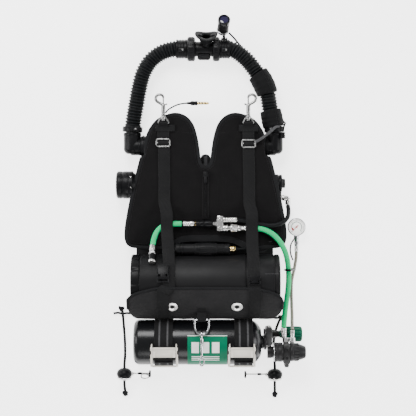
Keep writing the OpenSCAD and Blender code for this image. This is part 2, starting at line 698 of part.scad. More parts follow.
// A slot or sector round the mouthpiece valve's axis, between two angles from +Y towards +Z
module sector(x0, x1, r0, r1, a0, a1) translate([x0, dsv_y, loop_z]) rotate([90, 0, 90])
  linear_extrude(x1 - x0) difference() {
    polygon([[0, 0], for (a = [a0:(a1 - a0) / 8:a1 + 0.01]) r1 * 1.02 * [cos(a), sin(a)]]);
    circle(r0);
  }
module dsv_body() color([0.04, 0.04, 0.04]) difference() {
  union() {
    xcyl(dsv_x0 + 2, dsv_x1 - 2, dsv_y, loop_z, dsv_r);
    translate([mouth_x, dsv_y, loop_z]) rotate([mouth_tilt, 0, 0]) translate([0, 0, 10]) cylinder(h = 21, r = 14);
  }
  xcyl(dsv_x0 - 1, dsv_x1 + 1, dsv_y, loop_z, dsv_r - 2);
  translate([mouth_x, dsv_y, loop_z]) rotate([mouth_tilt, 0, 0]) cylinder(h = 60, r = 10.5);
  sector(-9, 1, dsv_r - 3, dsv_r + 2, 146, 238);
}
module dsv_nuts() color([0.04, 0.04, 0.04])
  for (x = [[dsv_x0, dsv_x0 + 20], [dsv_x1 - 18, dsv_x1]]) difference() {
    translate([x[0], dsv_y, loop_z]) rotate([0, 90, 0]) cylinder(h = x[1] - x[0], r = nut_r, $fn = 12);
    xcyl(x[0] - 1, x[1] + 1, dsv_y, loop_z, dsv_r + 0.1);
  }
module shutoff() color([0.06, 0.06, 0.06]) {
  difference() {
    xcyl(-26, 18, dsv_y, loop_z, dsv_r - 2 - run);
    xcyl(-27, 19, dsv_y, loop_z, dsv_r - 5);
    translate([mouth_x, dsv_y, loop_z]) rotate([mouth_tilt, 0, 0]) cylinder(h = 60, r = 10.5);
  }
  // The stem that passes through the slot, and the paddle outside
  sector(-8.6, 0.6, dsv_r - 2.5, dsv_r + 1.2, 150, 164);
  intersection() {
    difference() {
      xcyl(-21, 13, dsv_y, loop_z, dsv_r + 8.5);
      xcyl(-24, 16, dsv_y, loop_z, dsv_r + 0.6);
    }
    sector(-23, 15, dsv_r - 4, dsv_r + 20, 135, 190);
  }
}
module mouthpiece() color([0.05, 0.05, 0.05])
  translate([mouth_x, dsv_y, loop_z]) rotate([mouth_tilt, 0, 0]) difference() {
    union() {
      translate([0, 0, 25.5]) cylinder(h = 14, r = 15.8);
      translate([0, 0, 38]) linear_extrude(9) stadium(40, 28);
      translate([0, 0, 45]) linear_extrude(3) stadium(57, 37);
    }
    translate([0, 0, 20]) cylinder(h = 11.2, r = 14.1);
    translate([0, 0, 20]) cylinder(h = 21, r = 10.5);
    translate([0, 0, 38]) linear_extrude(20) stadium(23, 17);
  }
// A spoked seat with a thin disc on each side of the mouthpiece
module one_way_valves() color([0.5, 0.5, 0.52])
  for (x = [-40, 28]) {
    difference() {
      xcyl(x, x + 3, dsv_y, loop_z, dsv_r - 2.1);
      for (k = [0:2]) translate([x - 1, dsv_y, loop_z]) rotate([120 * k, 0, 0]) translate([0, 0, 8.5])
        rotate([0, 90, 0]) cylinder(h = 5, r = 5);
    }
    xcyl(x + 3, x + 3.8, dsv_y, loop_z, 14.5);
  }
module breathing_hose(p) difference() {
  sweep(p, hose_r, 12);
  sweep(longer(p, 4), hose_r - 3, 12);
}
module hose_left() color([0.05, 0.05, 0.05]) breathing_hose(route_hose_left);
module hose_right() color([0.05, 0.05, 0.05]) breathing_hose(route_hose_right);
module sleeves() color([0.07, 0.07, 0.08]) difference() {
  union() {
    sweep([[171, 209, 31], [167, 227, 31], [164, 243, 31]], hose_r + 7, 16);
    sweep([[155, 290, 31], [149, 306, 31], [141, 322, 31], [132, 336, 31]], hose_r + 7, 16);
  }
  sweep(longer(route_hose_right, 1), hose_r + 0.3, 12);
  sweep(longer(route_hud, 1), 2.9, 8);
}
module elbow(x, s) difference() {
  union() {
    xcyl(min(x, x - s * 22), max(x, x - s * 22), port_y, loop_z, elbow_r);
    translate([x, port_y, loop_z]) sphere(elbow_r);
    ycyl(port_y, port_y + 35, x, loop_z, elbow_r);
    ycyl(port_y + 34, port_y + 42, x, loop_z, 16.6);
  }
  xcyl(min(x, x - s * 30), max(x, x - s * 30), port_y, loop_z, 18);
  ycyl(port_y, port_y + 50, x, loop_z, 15);
}
module elbows() color([0.04, 0.04, 0.04]) {
  elbow(elbow_left_x, -1);
  elbow(elbow_right_x, 1);
  // The gland that the display's cable goes into
  difference() {
    ycyl(174, 189.2, 193, 51, 6.5);
    xcyl(160, 200, port_y, loop_z, elbow_r - 3);
    ycyl(port_y, port_y + 50, elbow_right_x, loop_z, elbow_r - 3);
  }
}
ear_tilt = 38;
ear_reach = 28.5;
hud_pivot = [dsv_y + ear_reach * cos(ear_tilt), loop_z + ear_reach * sin(ear_tilt)];
module ear(x) translate([x, dsv_y, loop_z]) rotate([ear_tilt, 0, 0]) difference() {
  union() {
    box([0, 23.5, -4.5], [3, ear_reach, 4.5]);
    xcyl(0, 3, ear_reach, 0, 4.5);
  }
  xcyl(-1, 4, ear_reach, 0, 2 + run);
}
module cuff(a, b, r) difference() {
  rod(a, b, r);
  rod(a - unit(b - a), b + unit(b - a), r - 1.6);
}
module hose_clamps() color([0.1, 0.1, 0.1]) {
  cuff([elbow_left_x, port_y + 37.2, loop_z], [elbow_left_x + 0.6, port_y + 50, loop_z], 25);
  cuff([elbow_right_x, port_y + 37.2, loop_z], [elbow_right_x - 0.6, port_y + 50, loop_z], 25);
  cuff([-74, dsv_y, loop_z], [dsv_x0 - 0.2, dsv_y, loop_z], 24);
  cuff([dsv_x1 + 0.2, dsv_y, loop_z], [61, dsv_y, loop_z], 24);
  for (x = [39.5, 51.5]) ear(x);
}
// The head-up display hangs on a pin between two ears of the right-hand cuff
module hud() color([0.12, 0.12, 0.13]) {
  rod([47, hud_pivot.x, hud_pivot.y], [44, 442, 53], 3.4);
  xcyl(39, 55, hud_pivot.x, hud_pivot.y, 2);
  rod([43, 444, 50], [46, 464, 90], 13.5);
  rod([42.8, 442.8, 47.6], [43.4, 446.6, 55.2], 14.8);
  rod([46, 464, 90], [46.2, 465.3, 92.6], 14.8);
}
module hud_cable() color([0.06, 0.06, 0.06]) sweep(route_hud, 2.4, 8);

vest_cover();
counterlungs();
back_panel();
zip_chain();
zip_slider();
straps();
strap_hardware();
buckles();
loop_ports();
adv_body();
adv_button();
o2_valve();
o2_button();
canister();
canister_lid();
scrubber();
pouch();
grommets();
d_ring();
hanging_snap();
cylinder_node();  // cylinder
cam_bands();
cam_lever_left();
cam_lever_right();
valve_body();
valve_knob();
first_stage();
hose_fittings();
gas_block();
qd_sleeve();
inline_valve();
hose_green_left();
hose_green_right();
hose_gauge();
hose_black();
gauge_case();
gauge_needle();
module_node();  // module
bungee_left();
bungee_right();
stow_left();
stow_right();
sensor_cable();
sensor_plug();
snap_left();
snap_right();
gate_left();
gate_right();
dsv_body();
dsv_nuts();
shutoff();
mouthpiece();
one_way_valves();
hose_left();
hose_right();
sleeves();
elbows();
hose_clamps();
hud();
hud_cable();
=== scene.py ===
"""Looks of a chest-worn breathing apparatus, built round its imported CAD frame.

Shapes are made in millimetres and scaled to metres as each piece is made. Cord routes are in metres.
+X is to the right, +Y runs up to the mouthpiece and +Z is outwards from the wearer.
"""

import math

import bmesh
import bpy
import numpy as np
from mathutils import Matrix, Vector, noise
from mathutils.geometry import delaunay_2d_cdt


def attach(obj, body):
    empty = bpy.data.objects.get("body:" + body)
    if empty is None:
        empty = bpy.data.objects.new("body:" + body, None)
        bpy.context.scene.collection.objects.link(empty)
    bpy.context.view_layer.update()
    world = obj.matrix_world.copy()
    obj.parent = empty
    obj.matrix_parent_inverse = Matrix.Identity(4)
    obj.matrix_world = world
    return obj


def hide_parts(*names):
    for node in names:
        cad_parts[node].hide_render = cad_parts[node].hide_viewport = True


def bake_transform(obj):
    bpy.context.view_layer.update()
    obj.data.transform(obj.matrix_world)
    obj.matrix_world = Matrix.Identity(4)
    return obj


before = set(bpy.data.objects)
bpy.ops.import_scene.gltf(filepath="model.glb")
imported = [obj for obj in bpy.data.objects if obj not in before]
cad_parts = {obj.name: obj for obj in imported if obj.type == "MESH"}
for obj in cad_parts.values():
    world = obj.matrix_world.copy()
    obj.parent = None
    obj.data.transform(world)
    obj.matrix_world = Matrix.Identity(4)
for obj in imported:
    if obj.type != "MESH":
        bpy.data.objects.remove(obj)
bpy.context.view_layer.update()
MM = 0.001
X, Y, Z = (1, 0, 0), (0, 1, 0), (0, 0, 1)

# The axes, in Y and Z, of the round pieces that lie along X
ADV = (58, 35)            # left addition valve
O2 = (62, 35)             # right addition valve
PORT = (154, 31)          # where the breathing loop turns
MOUTH_AXIS = (400, 31)    # mouthpiece valve
CAN = (-185, 70)          # scrubber canister
TANK = (-334, 58.8)       # gas cylinder
KNOB = (-317, 30)         # cylinder's hand wheel
REG = (-359, 60)          # first stage
POD = (-101, 91)          # electronics module
LOOP_Z = PORT[1]

# ---------------------------------------------------------------- paths


def smooth(points, steps):
    """A smooth curve through points, with a number of steps between neighbours."""
    p = np.array(points, float)
    p = np.vstack([2 * p[0] - p[1], p, 2 * p[-1] - p[-2]])
    out = []
    for a, b, c, d in zip(p, p[1:], p[2:], p[3:]):
        for t in np.arange(steps) / steps:
            out.append(0.5 * (2 * b + (c - a) * t + (2 * a - 5 * b + 4 * c - d) * t * t
                              + (3 * b - a - 3 * c + d) * t ** 3))
    return np.array(out + [p[-2]])


def lengths(path):
    """Distance of each point along a path."""
    return np.concatenate([[0], np.cumsum(np.linalg.norm(np.diff(path, axis=0), axis=1))])


def spaced(path, step):
    """A path again, with points about step apart."""
    s = lengths(path)
    stops = np.linspace(0, s[-1], max(2, round(s[-1] / step) + 1))
    return np.stack([np.interp(stops, s, path[:, k]) for k in range(path.shape[1])], axis=1)


def unit(v):
    """A vector, or each row of an array, made one long."""
    v = np.asarray(v, float)
    return v / np.maximum(np.linalg.norm(v, axis=-1, keepdims=True), 1e-12)


def tangents(path, closed=False):
    """The direction of a path at each of its points."""
    if closed:
        return unit(np.roll(path, -1, 0) - np.roll(path, 1, 0))
    return unit(np.gradient(np.asarray(path, float), axis=0))


def outward(path, closed=False):
    """For a path round the X axis or along Y, the direction square to it and to X, on its outer side."""
    return unit(np.cross((-1.0, 0, 0), tangents(path, closed)))


def arc(cx, cy, r, degrees):
    """Points on a circle, one for each of some angles."""
    return [(cx + r * math.cos(math.radians(a)), cy + r * math.sin(math.radians(a))) for a in degrees]


def on_circle(yc, zc, r, degrees):
    """A point of a round body seen along X, at an angle from +Y towards +Z."""
    a = math.radians(degrees)
    return yc + r * math.cos(a), zc + r * math.sin(a)


# ---------------------------------------------------------------- shapes: each is (points, faces)


def circle(r, sides=16, squash=1.0):
    """A round section."""
    a = np.arange(sides) * 2 * math.pi / sides
    return np.stack([r * np.cos(a), r * squash * np.sin(a)], axis=1)


def slab(w, t, r=None, n=3):
    """A flat bar's section, w wide and t thick, its corners rounded."""
    r = min(t / 2, w / 2) * 0.9 if r is None else r
    out = []
    for cx, cy, a0 in ((1, 1, 0), (-1, 1, 90), (-1, -1, 180), (1, -1, 270)):
        for k in range(n + 1):
            a = math.radians(a0 + 90 * k / n)
            out.append((cx * (w / 2 - r) + r * math.cos(a), cy * (t / 2 - r) + r * math.sin(a)))
    return np.array(out)


def sweep(path, section, scale=None, up=Z, closed=False, cap=True):
    """A section carried along a path. The section's first axis is across, its second is up."""
    p = np.asarray(path, float)
    n, k = len(p), len(section)
    t = tangents(p, closed)
    side = unit(np.cross(t, np.asarray(up, float)))
    top = np.cross(side, t)
    f = np.ones(n) if scale is None else np.asarray(scale, float)
    sec = section[None] * (f[:, None, None] if f.ndim == 1 else f[:, None, :])
    pts = (p[:, None] + sec[..., :1] * side[:, None] + sec[..., 1:] * top[:, None]).reshape(-1, 3)
    rows = n if closed else n - 1
    faces = []
    for i in range(rows):
        a, b = i * k, (i + 1) % n * k
        faces += [(a + j, a + (j + 1) % k, b + (j + 1) % k, b + j) for j in range(k)]
    if cap and not closed:
        faces += [tuple(range(k - 1, -1, -1)), tuple(range((n - 1) * k, n * k))]
    return pts, faces


def soften(profile, r):
    """A profile with its corners rounded."""
    p = np.array(profile, float)
    out = [p[0]]
    for a, b, c in zip(p, p[1:], p[2:]):
        d, e = b - a, c - b
        ld, le = np.linalg.norm(d), np.linalg.norm(e)
        if ld < 1e-6 or le < 1e-6 or abs(d[0] * e[1] - d[1] * e[0]) / (ld * le) < 0.2:
            out.append(b)
            continue
        cut = min(r, 0.45 * ld, 0.45 * le)
        q0, q2 = b - d / ld * cut, b + e / le * cut
        for t in (0, 0.5, 1):
            out.append((1 - t) ** 2 * q0 + 2 * t * (1 - t) * b + t * t * q2)
    return np.array(out + [p[-1]])


def turned(axis, sides):
    """Unit vectors that point out from an axis, at even angles round it."""
    a = unit(np.array(axis, float))
    u = unit(np.cross(a, Z if abs(a[2]) < 0.9 else X))
    angles = np.arange(sides) * 2 * math.pi / sides
    return angles, np.cos(angles)[:, None] * u + np.sin(angles)[:, None] * np.cross(a, u)


def lathe(profile, origin, axis, sides=48, r=0.8, lobes=None):
    """(along, radius) points turned round an axis, with corners rounded to r.
    lobes, a function of along and angle, gives a factor on the radius."""
    p = soften(profile, r) if r else np.array(profile, float)
    angles, ring = turned(axis, sides)
    rad = np.repeat(p[:, 1:], sides, axis=1)
    if lobes:
        rad = rad * np.array([[lobes(s, t) for t in angles] for s in p[:, 0]])
    along = p[:, :1, None] * unit(axis)
    pts = (np.array(origin, float) + along + rad[..., None] * ring[None]).reshape(-1, 3)
    faces = []
    for i in range(len(p) - 1):
        for j in range(sides):
            k = (j + 1) % sides
            faces.append((i * sides + j, i * sides + k, (i + 1) * sides + k, (i + 1) * sides + j))
    for i, flip in ((0, True), (len(p) - 1, False)):
        if p[i, 1] > 1e-6:
            loop = tuple(range(i * sides, (i + 1) * sides))
            faces.append(loop[::-1] if flip else loop)
    return pts, faces


def span(a, b):
    """The distance between two points."""
    return float(np.linalg.norm(np.array(b, float) - np.array(a, float)))


def line_of(a, b, profile, sides=40, r=0.4, lobes=None):
    """A lathe turned along the line from a to b."""
    return lathe(profile, a, np.array(b, float) - np.array(a, float), sides, r, lobes)


def rod(a, b, r, edge=0.5, sides=32):
    """A round bar from a to b."""
    n = span(a, b)
    return line_of(a, b, [(0, 0), (0, r), (n, r), (n, 0)], sides, edge)


def tube(a, b, outer, inner, edge=0.5, sides=40):
    """A round pipe from a to b."""
    n = span(a, b)
    return line_of(a, b, [(n / 2, inner), (0, inner), (0, outer), (n, outer), (n, inner), (n / 2, inner)],
                   sides, edge)


def torus(c, axis, big, small, sides=48, section=12, squash=1.0):
    """A ring about an axis."""
    path = np.array(c, float) + big * turned(axis, sides)[1]
    return sweep(path, circle(small, section, squash), up=unit(axis), closed=True)


def bevelled(bm, width, edges):
    """Rounds some edges of a solid, and gives its points and faces."""
    if width:
        bmesh.ops.bevel(bm, geom=edges, offset=width, segments=2, affect="EDGES", profile=0.5,
                        clamp_overlap=True)
    bm.verts.index_update()
    pts = np.array([v.co for v in bm.verts])
    faces = [tuple(v.index for v in f.verts) for f in bm.faces]
    bm.free()
    return pts, faces


def box(lo, hi, bevel=1.0):
    """A block between two corners."""
    bm = bmesh.new()
    bmesh.ops.create_cube(bm, size=1)
    lo, hi = np.array(lo, float), np.array(hi, float)
    for v in bm.verts:
        v.co = Vector((lo + hi) / 2 + np.array(v.co) * (hi - lo))
    return bevelled(bm, bevel, bm.edges[:])


def plate(outline, z0, z1, bevel=0.5):
    """A flat outline in X and Y, given a thickness."""
    bm = bmesh.new()
    low = [bm.verts.new((x, y, z0)) for x, y in outline]
    top = [bm.verts.new((x, y, z1)) for x, y in outline]
    n = len(low)
    bm.faces.new(low[::-1])
    bm.faces.new(top)
    for i in range(n):
        bm.faces.new((low[i], low[(i + 1) % n], top[(i + 1) % n], top[i]))
    bm.normal_update()
    return bevelled(bm, bevel, [e for e in bm.edges if e.calc_face_angle(0) > 0.6])


def moved(shape, matrix):
    """A shape put through a matrix."""
    pts, faces = shape
    m = np.array(matrix)
    return pts @ m[:3, :3].T + m[:3, 3], faces


def at(x, y, z, turn=0.0, axis="X"):
    """A matrix that turns a shape about an axis, in degrees, and then puts it at a place."""
    return Matrix.Translation((x, y, z)) @ Matrix.Rotation(math.radians(turn), 4, axis)


def piece(name, shapes, mat, body, stands_for=(), sharp=38):
    """Makes one object of shapes, and ties it to its CAD body and the CAD node it stands for."""
    if isinstance(shapes, tuple):
        shapes = [shapes]
    pts, faces, n = [], [], 0
    for p, f in shapes:
        pts.append(np.asarray(p) * MM)
        faces += [tuple(i + n for i in face) for face in f]
        n += len(p)
    mesh = bpy.data.meshes.new(name)
    mesh.from_pydata(np.concatenate(pts).tolist(), [], faces)
    bm = bmesh.new()
    bm.from_mesh(mesh)
    bmesh.ops.remove_doubles(bm, verts=bm.verts, dist=1e-6)
    bmesh.ops.recalc_face_normals(bm, faces=bm.faces)
    bm.to_mesh(mesh)
    bm.free()
    mesh.shade_smooth()
    mesh.set_sharp_from_angle(angle=math.radians(sharp))
    obj = bpy.data.objects.new(name, mesh)
    bpy.context.scene.collection.objects.link(obj)
    mesh.materials.append(mat)
    if body:
        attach(obj, body)
    for node in [stands_for] if isinstance(stands_for, str) else stands_for:
        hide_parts(node)
    return obj


# ---------------------------------------------------------------- materials


def material(name, colour, rough, metallic=0.0, other=None, mottle=30.0, pattern="grain", fine=1.0,
             depth=0.1, wear=None, sheen=0.0, rough_swing=0.1, shine=0.5, more=()):
    """A procedural finish. pattern is the surface's relief, fine its pitch in millimetres and depth
    its height there; other is a second colour that mottles the first; wear is an edge colour; more
    holds further values of the shader."""
    mat = bpy.data.materials.new(name)
    mat.use_nodes = True
    nodes, links = mat.node_tree.nodes, mat.node_tree.links
    bsdf = nodes["Principled BSDF"]
    for key, value in (("Metallic", metallic), ("Specular IOR Level", shine), ("Sheen Weight", sheen),
                       ("Sheen Roughness", 0.45), ("Coat Roughness", 0.12), *more):
        bsdf.inputs[key].default_value = value
    where = nodes.new("ShaderNodeTexCoord").outputs["Object"]

    def tex(kind, scale, **values):
        node = nodes.new("ShaderNodeTex" + kind)
        links.new(where, node.inputs["Vector"])
        node.inputs["Scale"].default_value = scale
        for key, value in values.items():
            if isinstance(value, str):
                setattr(node, key, value)
            else:
                node.inputs[key].default_value = value
        return node

    def mix(fac, a, b):
        node = nodes.new("ShaderNodeMix")
        node.data_type = "RGBA"
        links.new(fac, node.inputs["Factor"])
        for socket, value in ((node.inputs["A"], a), (node.inputs["B"], b)):
            if isinstance(value, tuple):
                socket.default_value = (*value, 1)
            else:
                links.new(value, socket)
        return node.outputs["Result"]

    def math_node(op, a, b):
        node = nodes.new("ShaderNodeMath")
        node.operation = op
        for socket, value in zip(node.inputs, (a, b)):
            if isinstance(value, (int, float)):
                socket.default_value = value
            else:
                links.new(value, socket)
        return node.outputs[0]

    def ramp(fac, low, high):
        node = nodes.new("ShaderNodeMapRange")
        links.new(fac, node.inputs["Value"])
        node.inputs["From Min"].default_value = low
        node.inputs["From Max"].default_value = high
        return node.outputs["Result"]

    cloud = tex("Noise", mottle, Detail=4.0)
    tint = mix(ramp(cloud.outputs["Fac"], 0.3, 0.7), colour, other or tuple(c * 0.8 for c in colour))
    pitch = 1000 / fine
    height = None
    if pattern == "weave":
        warp = tex("Wave", pitch / 6.28, wave_type="BANDS", bands_direction="X")
        weft = tex("Wave", pitch / 6.28, wave_type="BANDS", bands_direction="Y")
        fuzz = tex("Noise", pitch * 0.7, Detail=2.0)
        height = math_node("ADD", math_node("MULTIPLY", warp.outputs["Fac"], weft.outputs["Fac"]),
                           math_node("MULTIPLY", fuzz.outputs["Fac"], 0.8))
    elif pattern == "webbing":
        ribs = tex("Wave", pitch / 6.28, wave_type="BANDS", bands_direction="Y")
        twill = tex("Wave", pitch / 9.0, wave_type="BANDS", bands_direction="DIAGONAL")
        height = math_node("ADD", ribs.outputs["Fac"], math_node("MULTIPLY", twill.outputs["Fac"], 0.6))
    elif pattern == "pebble":
        cells = tex("Voronoi", pitch, feature="SMOOTH_F1")
        fuzz = tex("Noise", pitch * 0.5, Detail=3.0)
        height = math_node("ADD", cells.outputs["Distance"], fuzz.outputs["Fac"])
    elif pattern == "brushed":
        mapping = nodes.new("ShaderNodeMapping")
        mapping.inputs["Scale"].default_value = (0.05, 1, 1)
        links.new(where, mapping.inputs["Vector"])
        lines = tex("Noise", pitch, Detail=3.0)
        links.new(mapping.outputs["Vector"], lines.inputs["Vector"])
        height = lines.outputs["Fac"]
    elif pattern == "grain":
        height = tex("Noise", pitch, Detail=4.0).outputs["Fac"]
    if height is not None:
        # Painted shade: the low parts of the weave, webbing and pebble relief are darkened to 0.72 of the
        # colour
        shade = mix(ramp(height, 0.2, 1.3), tuple(c * 0.72 for c in colour), tint)
        tint = shade if pattern in ("weave", "webbing", "pebble") else tint
        bump = nodes.new("ShaderNodeBump")
        bump.inputs["Strength"].default_value = 0.9
        bump.inputs["Distance"].default_value = depth * MM
        links.new(height, bump.inputs["Height"])
        links.new(bump.outputs["Normal"], bsdf.inputs["Normal"])
    if wear:
        edge = nodes.new("ShaderNodeNewGeometry").outputs["Pointiness"]
        worn = math_node("MULTIPLY", ramp(edge, 0.52, 0.6), ramp(cloud.outputs["Fac"], 0.35, 0.6))
        tint = mix(worn, tint, wear)
    links.new(tint, bsdf.inputs["Base Color"])
    if rough_swing:
        swing = math_node("MULTIPLY", math_node("SUBTRACT", cloud.outputs["Fac"], 0.5), 2 * rough_swing)
        links.new(math_node("ADD", swing, rough), bsdf.inputs["Roughness"])
    else:
        bsdf.inputs["Roughness"].default_value = rough
    return mat


CLOTH = material("cloth", (0.0058, 0.0054, 0.0057), 0.85, other=(0.0045, 0.0043, 0.0047), pattern="weave",
                 fine=1.1, depth=0.22, sheen=0.02, shine=0.08)
BINDING = material("binding", (0.009, 0.0092, 0.010), 0.75, pattern="webbing", fine=1.2, depth=0.15,
                   sheen=0.02, shine=0.1)
WEBBING = material("webbing", (0.0078, 0.0078, 0.0082), 0.7, other=(0.006, 0.006, 0.0065),
                   pattern="webbing", fine=1.6, depth=0.25, sheen=0.02, shine=0.1)
POUCH = material("pouch_mesh", (0.016, 0.0155, 0.0162), 0.8, other=(0.011, 0.011, 0.0115), pattern="pebble",
                 fine=2.4, depth=0.6, sheen=0.03, shine=0.12)
NEOPRENE = material("neoprene", (0.0055, 0.0056, 0.006), 0.8, pattern="weave", fine=0.9, depth=0.12,
                    sheen=0.03, shine=0.1)
PLASTIC = material("black_plastic", (0.0042, 0.0043, 0.0048), 0.36, fine=0.6, depth=0.04,
                   wear=(0.012, 0.012, 0.013), shine=0.09)
SATIN = material("satin_plastic", (0.0065, 0.0065, 0.007), 0.48, fine=0.8, depth=0.07,
                 wear=(0.015, 0.015, 0.016), shine=0.1)
SLEEVE = material("sleeve_shell", (0.007, 0.007, 0.0075), 0.5, fine=9, depth=0.05, rough_swing=0.05,
                  shine=0.14)
GLOSS = material("gloss_shell", (0.004, 0.0042, 0.005), 0.26, fine=18, depth=0.05, rough_swing=0.04,
                 shine=0.22)
RUBBER = material("hose_rubber", (0.0045, 0.005, 0.0055), 0.5, other=(0.0062, 0.0068, 0.0073), fine=1.5,
                  depth=0.05, shine=0.1)
SILICONE = material("silicone", (0.006, 0.0063, 0.007), 0.45, fine=3, depth=0.04, shine=0.1)
GREEN = material("green_hose", (0.0, 0.46, 0.155), 0.45, other=(0.0, 0.42, 0.14), fine=1.2, depth=0.04,
                 shine=0.06)
GREEN_DARK = material("green_knob", (0.0, 0.085, 0.045), 0.45, other=(0.0, 0.07, 0.037), fine=1.0,
                      depth=0.06, wear=(0.005, 0.13, 0.08), shine=0.14)
GREY_HOSE = material("grey_hose", (0.24, 0.215, 0.18), 0.5, pattern="webbing", fine=1.5, depth=0.2)
STEEL = material("steel", (0.60, 0.59, 0.57), 0.26, 1.0, other=(0.45, 0.45, 0.45), pattern="brushed",
                 fine=0.5, depth=0.02, wear=(0.75, 0.75, 0.75))
PEWTER = material("dark_steel", (0.27, 0.27, 0.265), 0.3, 1.0, other=(0.19, 0.19, 0.19), pattern="brushed",
                  fine=0.5, depth=0.02, wear=(0.5, 0.5, 0.5))
POLISHED = material("polished", (0.82, 0.81, 0.79), 0.3, 0.7, other=(0.75, 0.74, 0.72), fine=3, depth=0.01)
CREAM = material("cast_steel", (0.60, 0.565, 0.50), 0.5, 0.35, other=(0.50, 0.47, 0.42), fine=0.8,
                 depth=0.04, wear=(0.75, 0.72, 0.66))
CHROME = material("chrome", (0.52, 0.52, 0.53), 0.15, 1.0, other=(0.40, 0.41, 0.42), fine=6, depth=0.01,
                  rough_swing=0.05)
GOLD = material("gold", (0.80, 0.62, 0.30), 0.2, 1.0, other=(0.7, 0.52, 0.22), fine=3, depth=0.01,
                rough_swing=0.05)
ANTHRACITE = material("anthracite", (0.016, 0.0155, 0.016), 0.42, 0.2, other=(0.011, 0.011, 0.012),
                      fine=0.5, depth=0.05, wear=(0.07, 0.07, 0.07), shine=0.16)
ELASTIC = material("elastic", (0.010, 0.0105, 0.0115), 0.75, pattern="weave", fine=1.3, depth=0.3,
                   sheen=0.03, shine=0.12)
STITCH = material("thread", (0.018, 0.018, 0.019), 0.7, pattern="webbing", fine=1.2, depth=0.1, shine=0.15)
GREY_WEB = material("grey_elastic", (0.06, 0.06, 0.063), 0.7, pattern="webbing", fine=1.2, depth=0.2,
                    shine=0.2)
WHITE = material("white_print", (0.86, 0.86, 0.84), 0.4, fine=2, depth=0.01)
# Painted glow: the dial's face emits light at strength 1.2, lighting it beyond what the lamps give
DIAL_GLOW = material("dial", (0.9, 0.9, 0.88), 0.4, fine=2, depth=0.01,
                more=(("Emission Color", (1, 0.98, 0.95, 1)), ("Emission Strength", 1.2)))
LABEL = material("label", (0.0, 0.125, 0.062), 0.45, other=(0.0, 0.11, 0.055), fine=4, depth=0.01,
                 rough_swing=0.05, shine=0.1)
RED = material("red_mark", (0.55, 0.03, 0.02), 0.45, fine=2, depth=0.01)
LENS = material("lens", (0.012, 0.008, 0.04), 0.08, other=(0.008, 0.006, 0.03), mottle=60, pattern=None,
                rough_swing=0.03, more=(("Coat Weight", 0.4),))
SORBENT = material("sorbent", (0.75, 0.73, 0.68), 0.8, pattern="pebble", fine=3, depth=0.8)
GLASS = material("glass", (0.9, 0.9, 0.9), 0.04, mottle=5, pattern=None, rough_swing=0, shine=0.4,
                 more=(("Alpha", 0.03),))
FLOOR = material("floor", (0.93, 0.93, 0.93), 0.7, other=(0.92, 0.92, 0.925), mottle=1, fine=4, depth=0.01,
                 more=(("Emission Color", (1, 1, 1, 1)), ("Emission Strength", 2.6)))

# ---------------------------------------------------------------- camera, light and floor

camera = bpy.data.objects.new("camera", bpy.data.cameras.new("camera"))
bpy.context.scene.collection.objects.link(camera)
camera.data.sensor_width = 36
camera.data.lens = 100
camera.location = (0.00625, 0, 2.94)
bpy.context.scene.camera = camera

for name, where, energy, size in (
    ("key", (-0.5, 1.9, 2.0), 90, 1.3),
    ("left_side", (-2.1, 0.2, 1.3), 46, 1.2),
    ("right_side", (2.1, -0.2, 1.2), 40, 1.2),
    ("low_edge", (0.1, -2.0, 1.2), 26, 1.2),
):
    light = bpy.data.objects.new(name, bpy.data.lights.new(name, "AREA"))
    light.data.energy = energy
    light.data.shape = "DISK"
    light.data.size = size
    light.location = where
    light.rotation_euler = (Vector((0, 0, 0.05)) - light.location).to_track_quat("-Z", "Y").to_euler()
    bpy.context.scene.collection.objects.link(light)

world = bpy.data.worlds.new("studio")
bpy.context.scene.world = world
world.use_nodes = True
world.node_tree.nodes["Background"].inputs["Color"].default_value = (1, 1, 1, 1)
world.node_tree.nodes["Background"].inputs["Strength"].default_value = 0.5

floor = piece("floor", box((-4000, -4000, -12), (4000, 4000, -0.6), 2), FLOOR, None)

# ---------------------------------------------------------------- hoses, cables and bungee cords

green_left = [
    (-0.059, -0.039, 0.078), (-0.074, -0.039, 0.078), (-0.092, -0.041, 0.078),
    (-0.108, -0.047, 0.078), (-0.120, -0.059, 0.080), (-0.127, -0.076, 0.086),
    (-0.130, -0.092, 0.095)
]
green_right = [
    (0.100, -0.050, 0.078), (0.122, -0.050, 0.078), (0.146, -0.054, 0.078), (0.168, -0.066, 0.078),
    (0.186, -0.086, 0.076), (0.199, -0.112, 0.068), (0.206, -0.142, 0.057), (0.208, -0.175, 0.048),
    (0.206, -0.210, 0.045), (0.201, -0.245, 0.048), (0.197, -0.275, 0.054), (0.195, -0.298, 0.059)
]
gauge_line = [
    (0.230, -0.110, 0.015), (0.229, -0.130, 0.010), (0.225, -0.155, 0.006), (0.219, -0.185, 0.005),
    (0.218, -0.215, 0.006), (0.218, -0.245, 0.014), (0.218, -0.270, 0.028), (0.217, -0.290, 0.044),
    (0.217, -0.304, 0.056)
]
black = [
    (0.207, 0.006, 0.035), (0.208, -0.008, 0.044), (0.204, -0.024, 0.060), (0.190, -0.037, 0.071),
    (0.168, -0.043, 0.075), (0.140, -0.041, 0.076), (0.108, -0.034, 0.077), (0.078, -0.029, 0.078)
]
bungee_left = [
    (-0.211, -0.262, 0.004), (-0.208, -0.295, 0.004), (-0.205, -0.335, 0.004),
    (-0.204, -0.372, 0.008), (-0.205, -0.396, 0.0185), (-0.205, -0.445, 0.0185),
    (-0.204, -0.464, 0.005)
]
bungee_right = [
    (0.188, -0.284, 0.005), (0.180, -0.305, 0.005), (0.174, -0.330, 0.005), (0.173, -0.366, 0.009),
    (0.175, -0.398, 0.0185), (0.175, -0.448, 0.0185), (0.176, -0.467, 0.005)
]
sensor = [
    (-0.099, 0.236, 0.0695), (-0.094, 0.243, 0.069), (-0.084, 0.250, 0.067), (-0.069, 0.257, 0.065),
    (-0.052, 0.2605, 0.063), (-0.037, 0.261, 0.062)
]
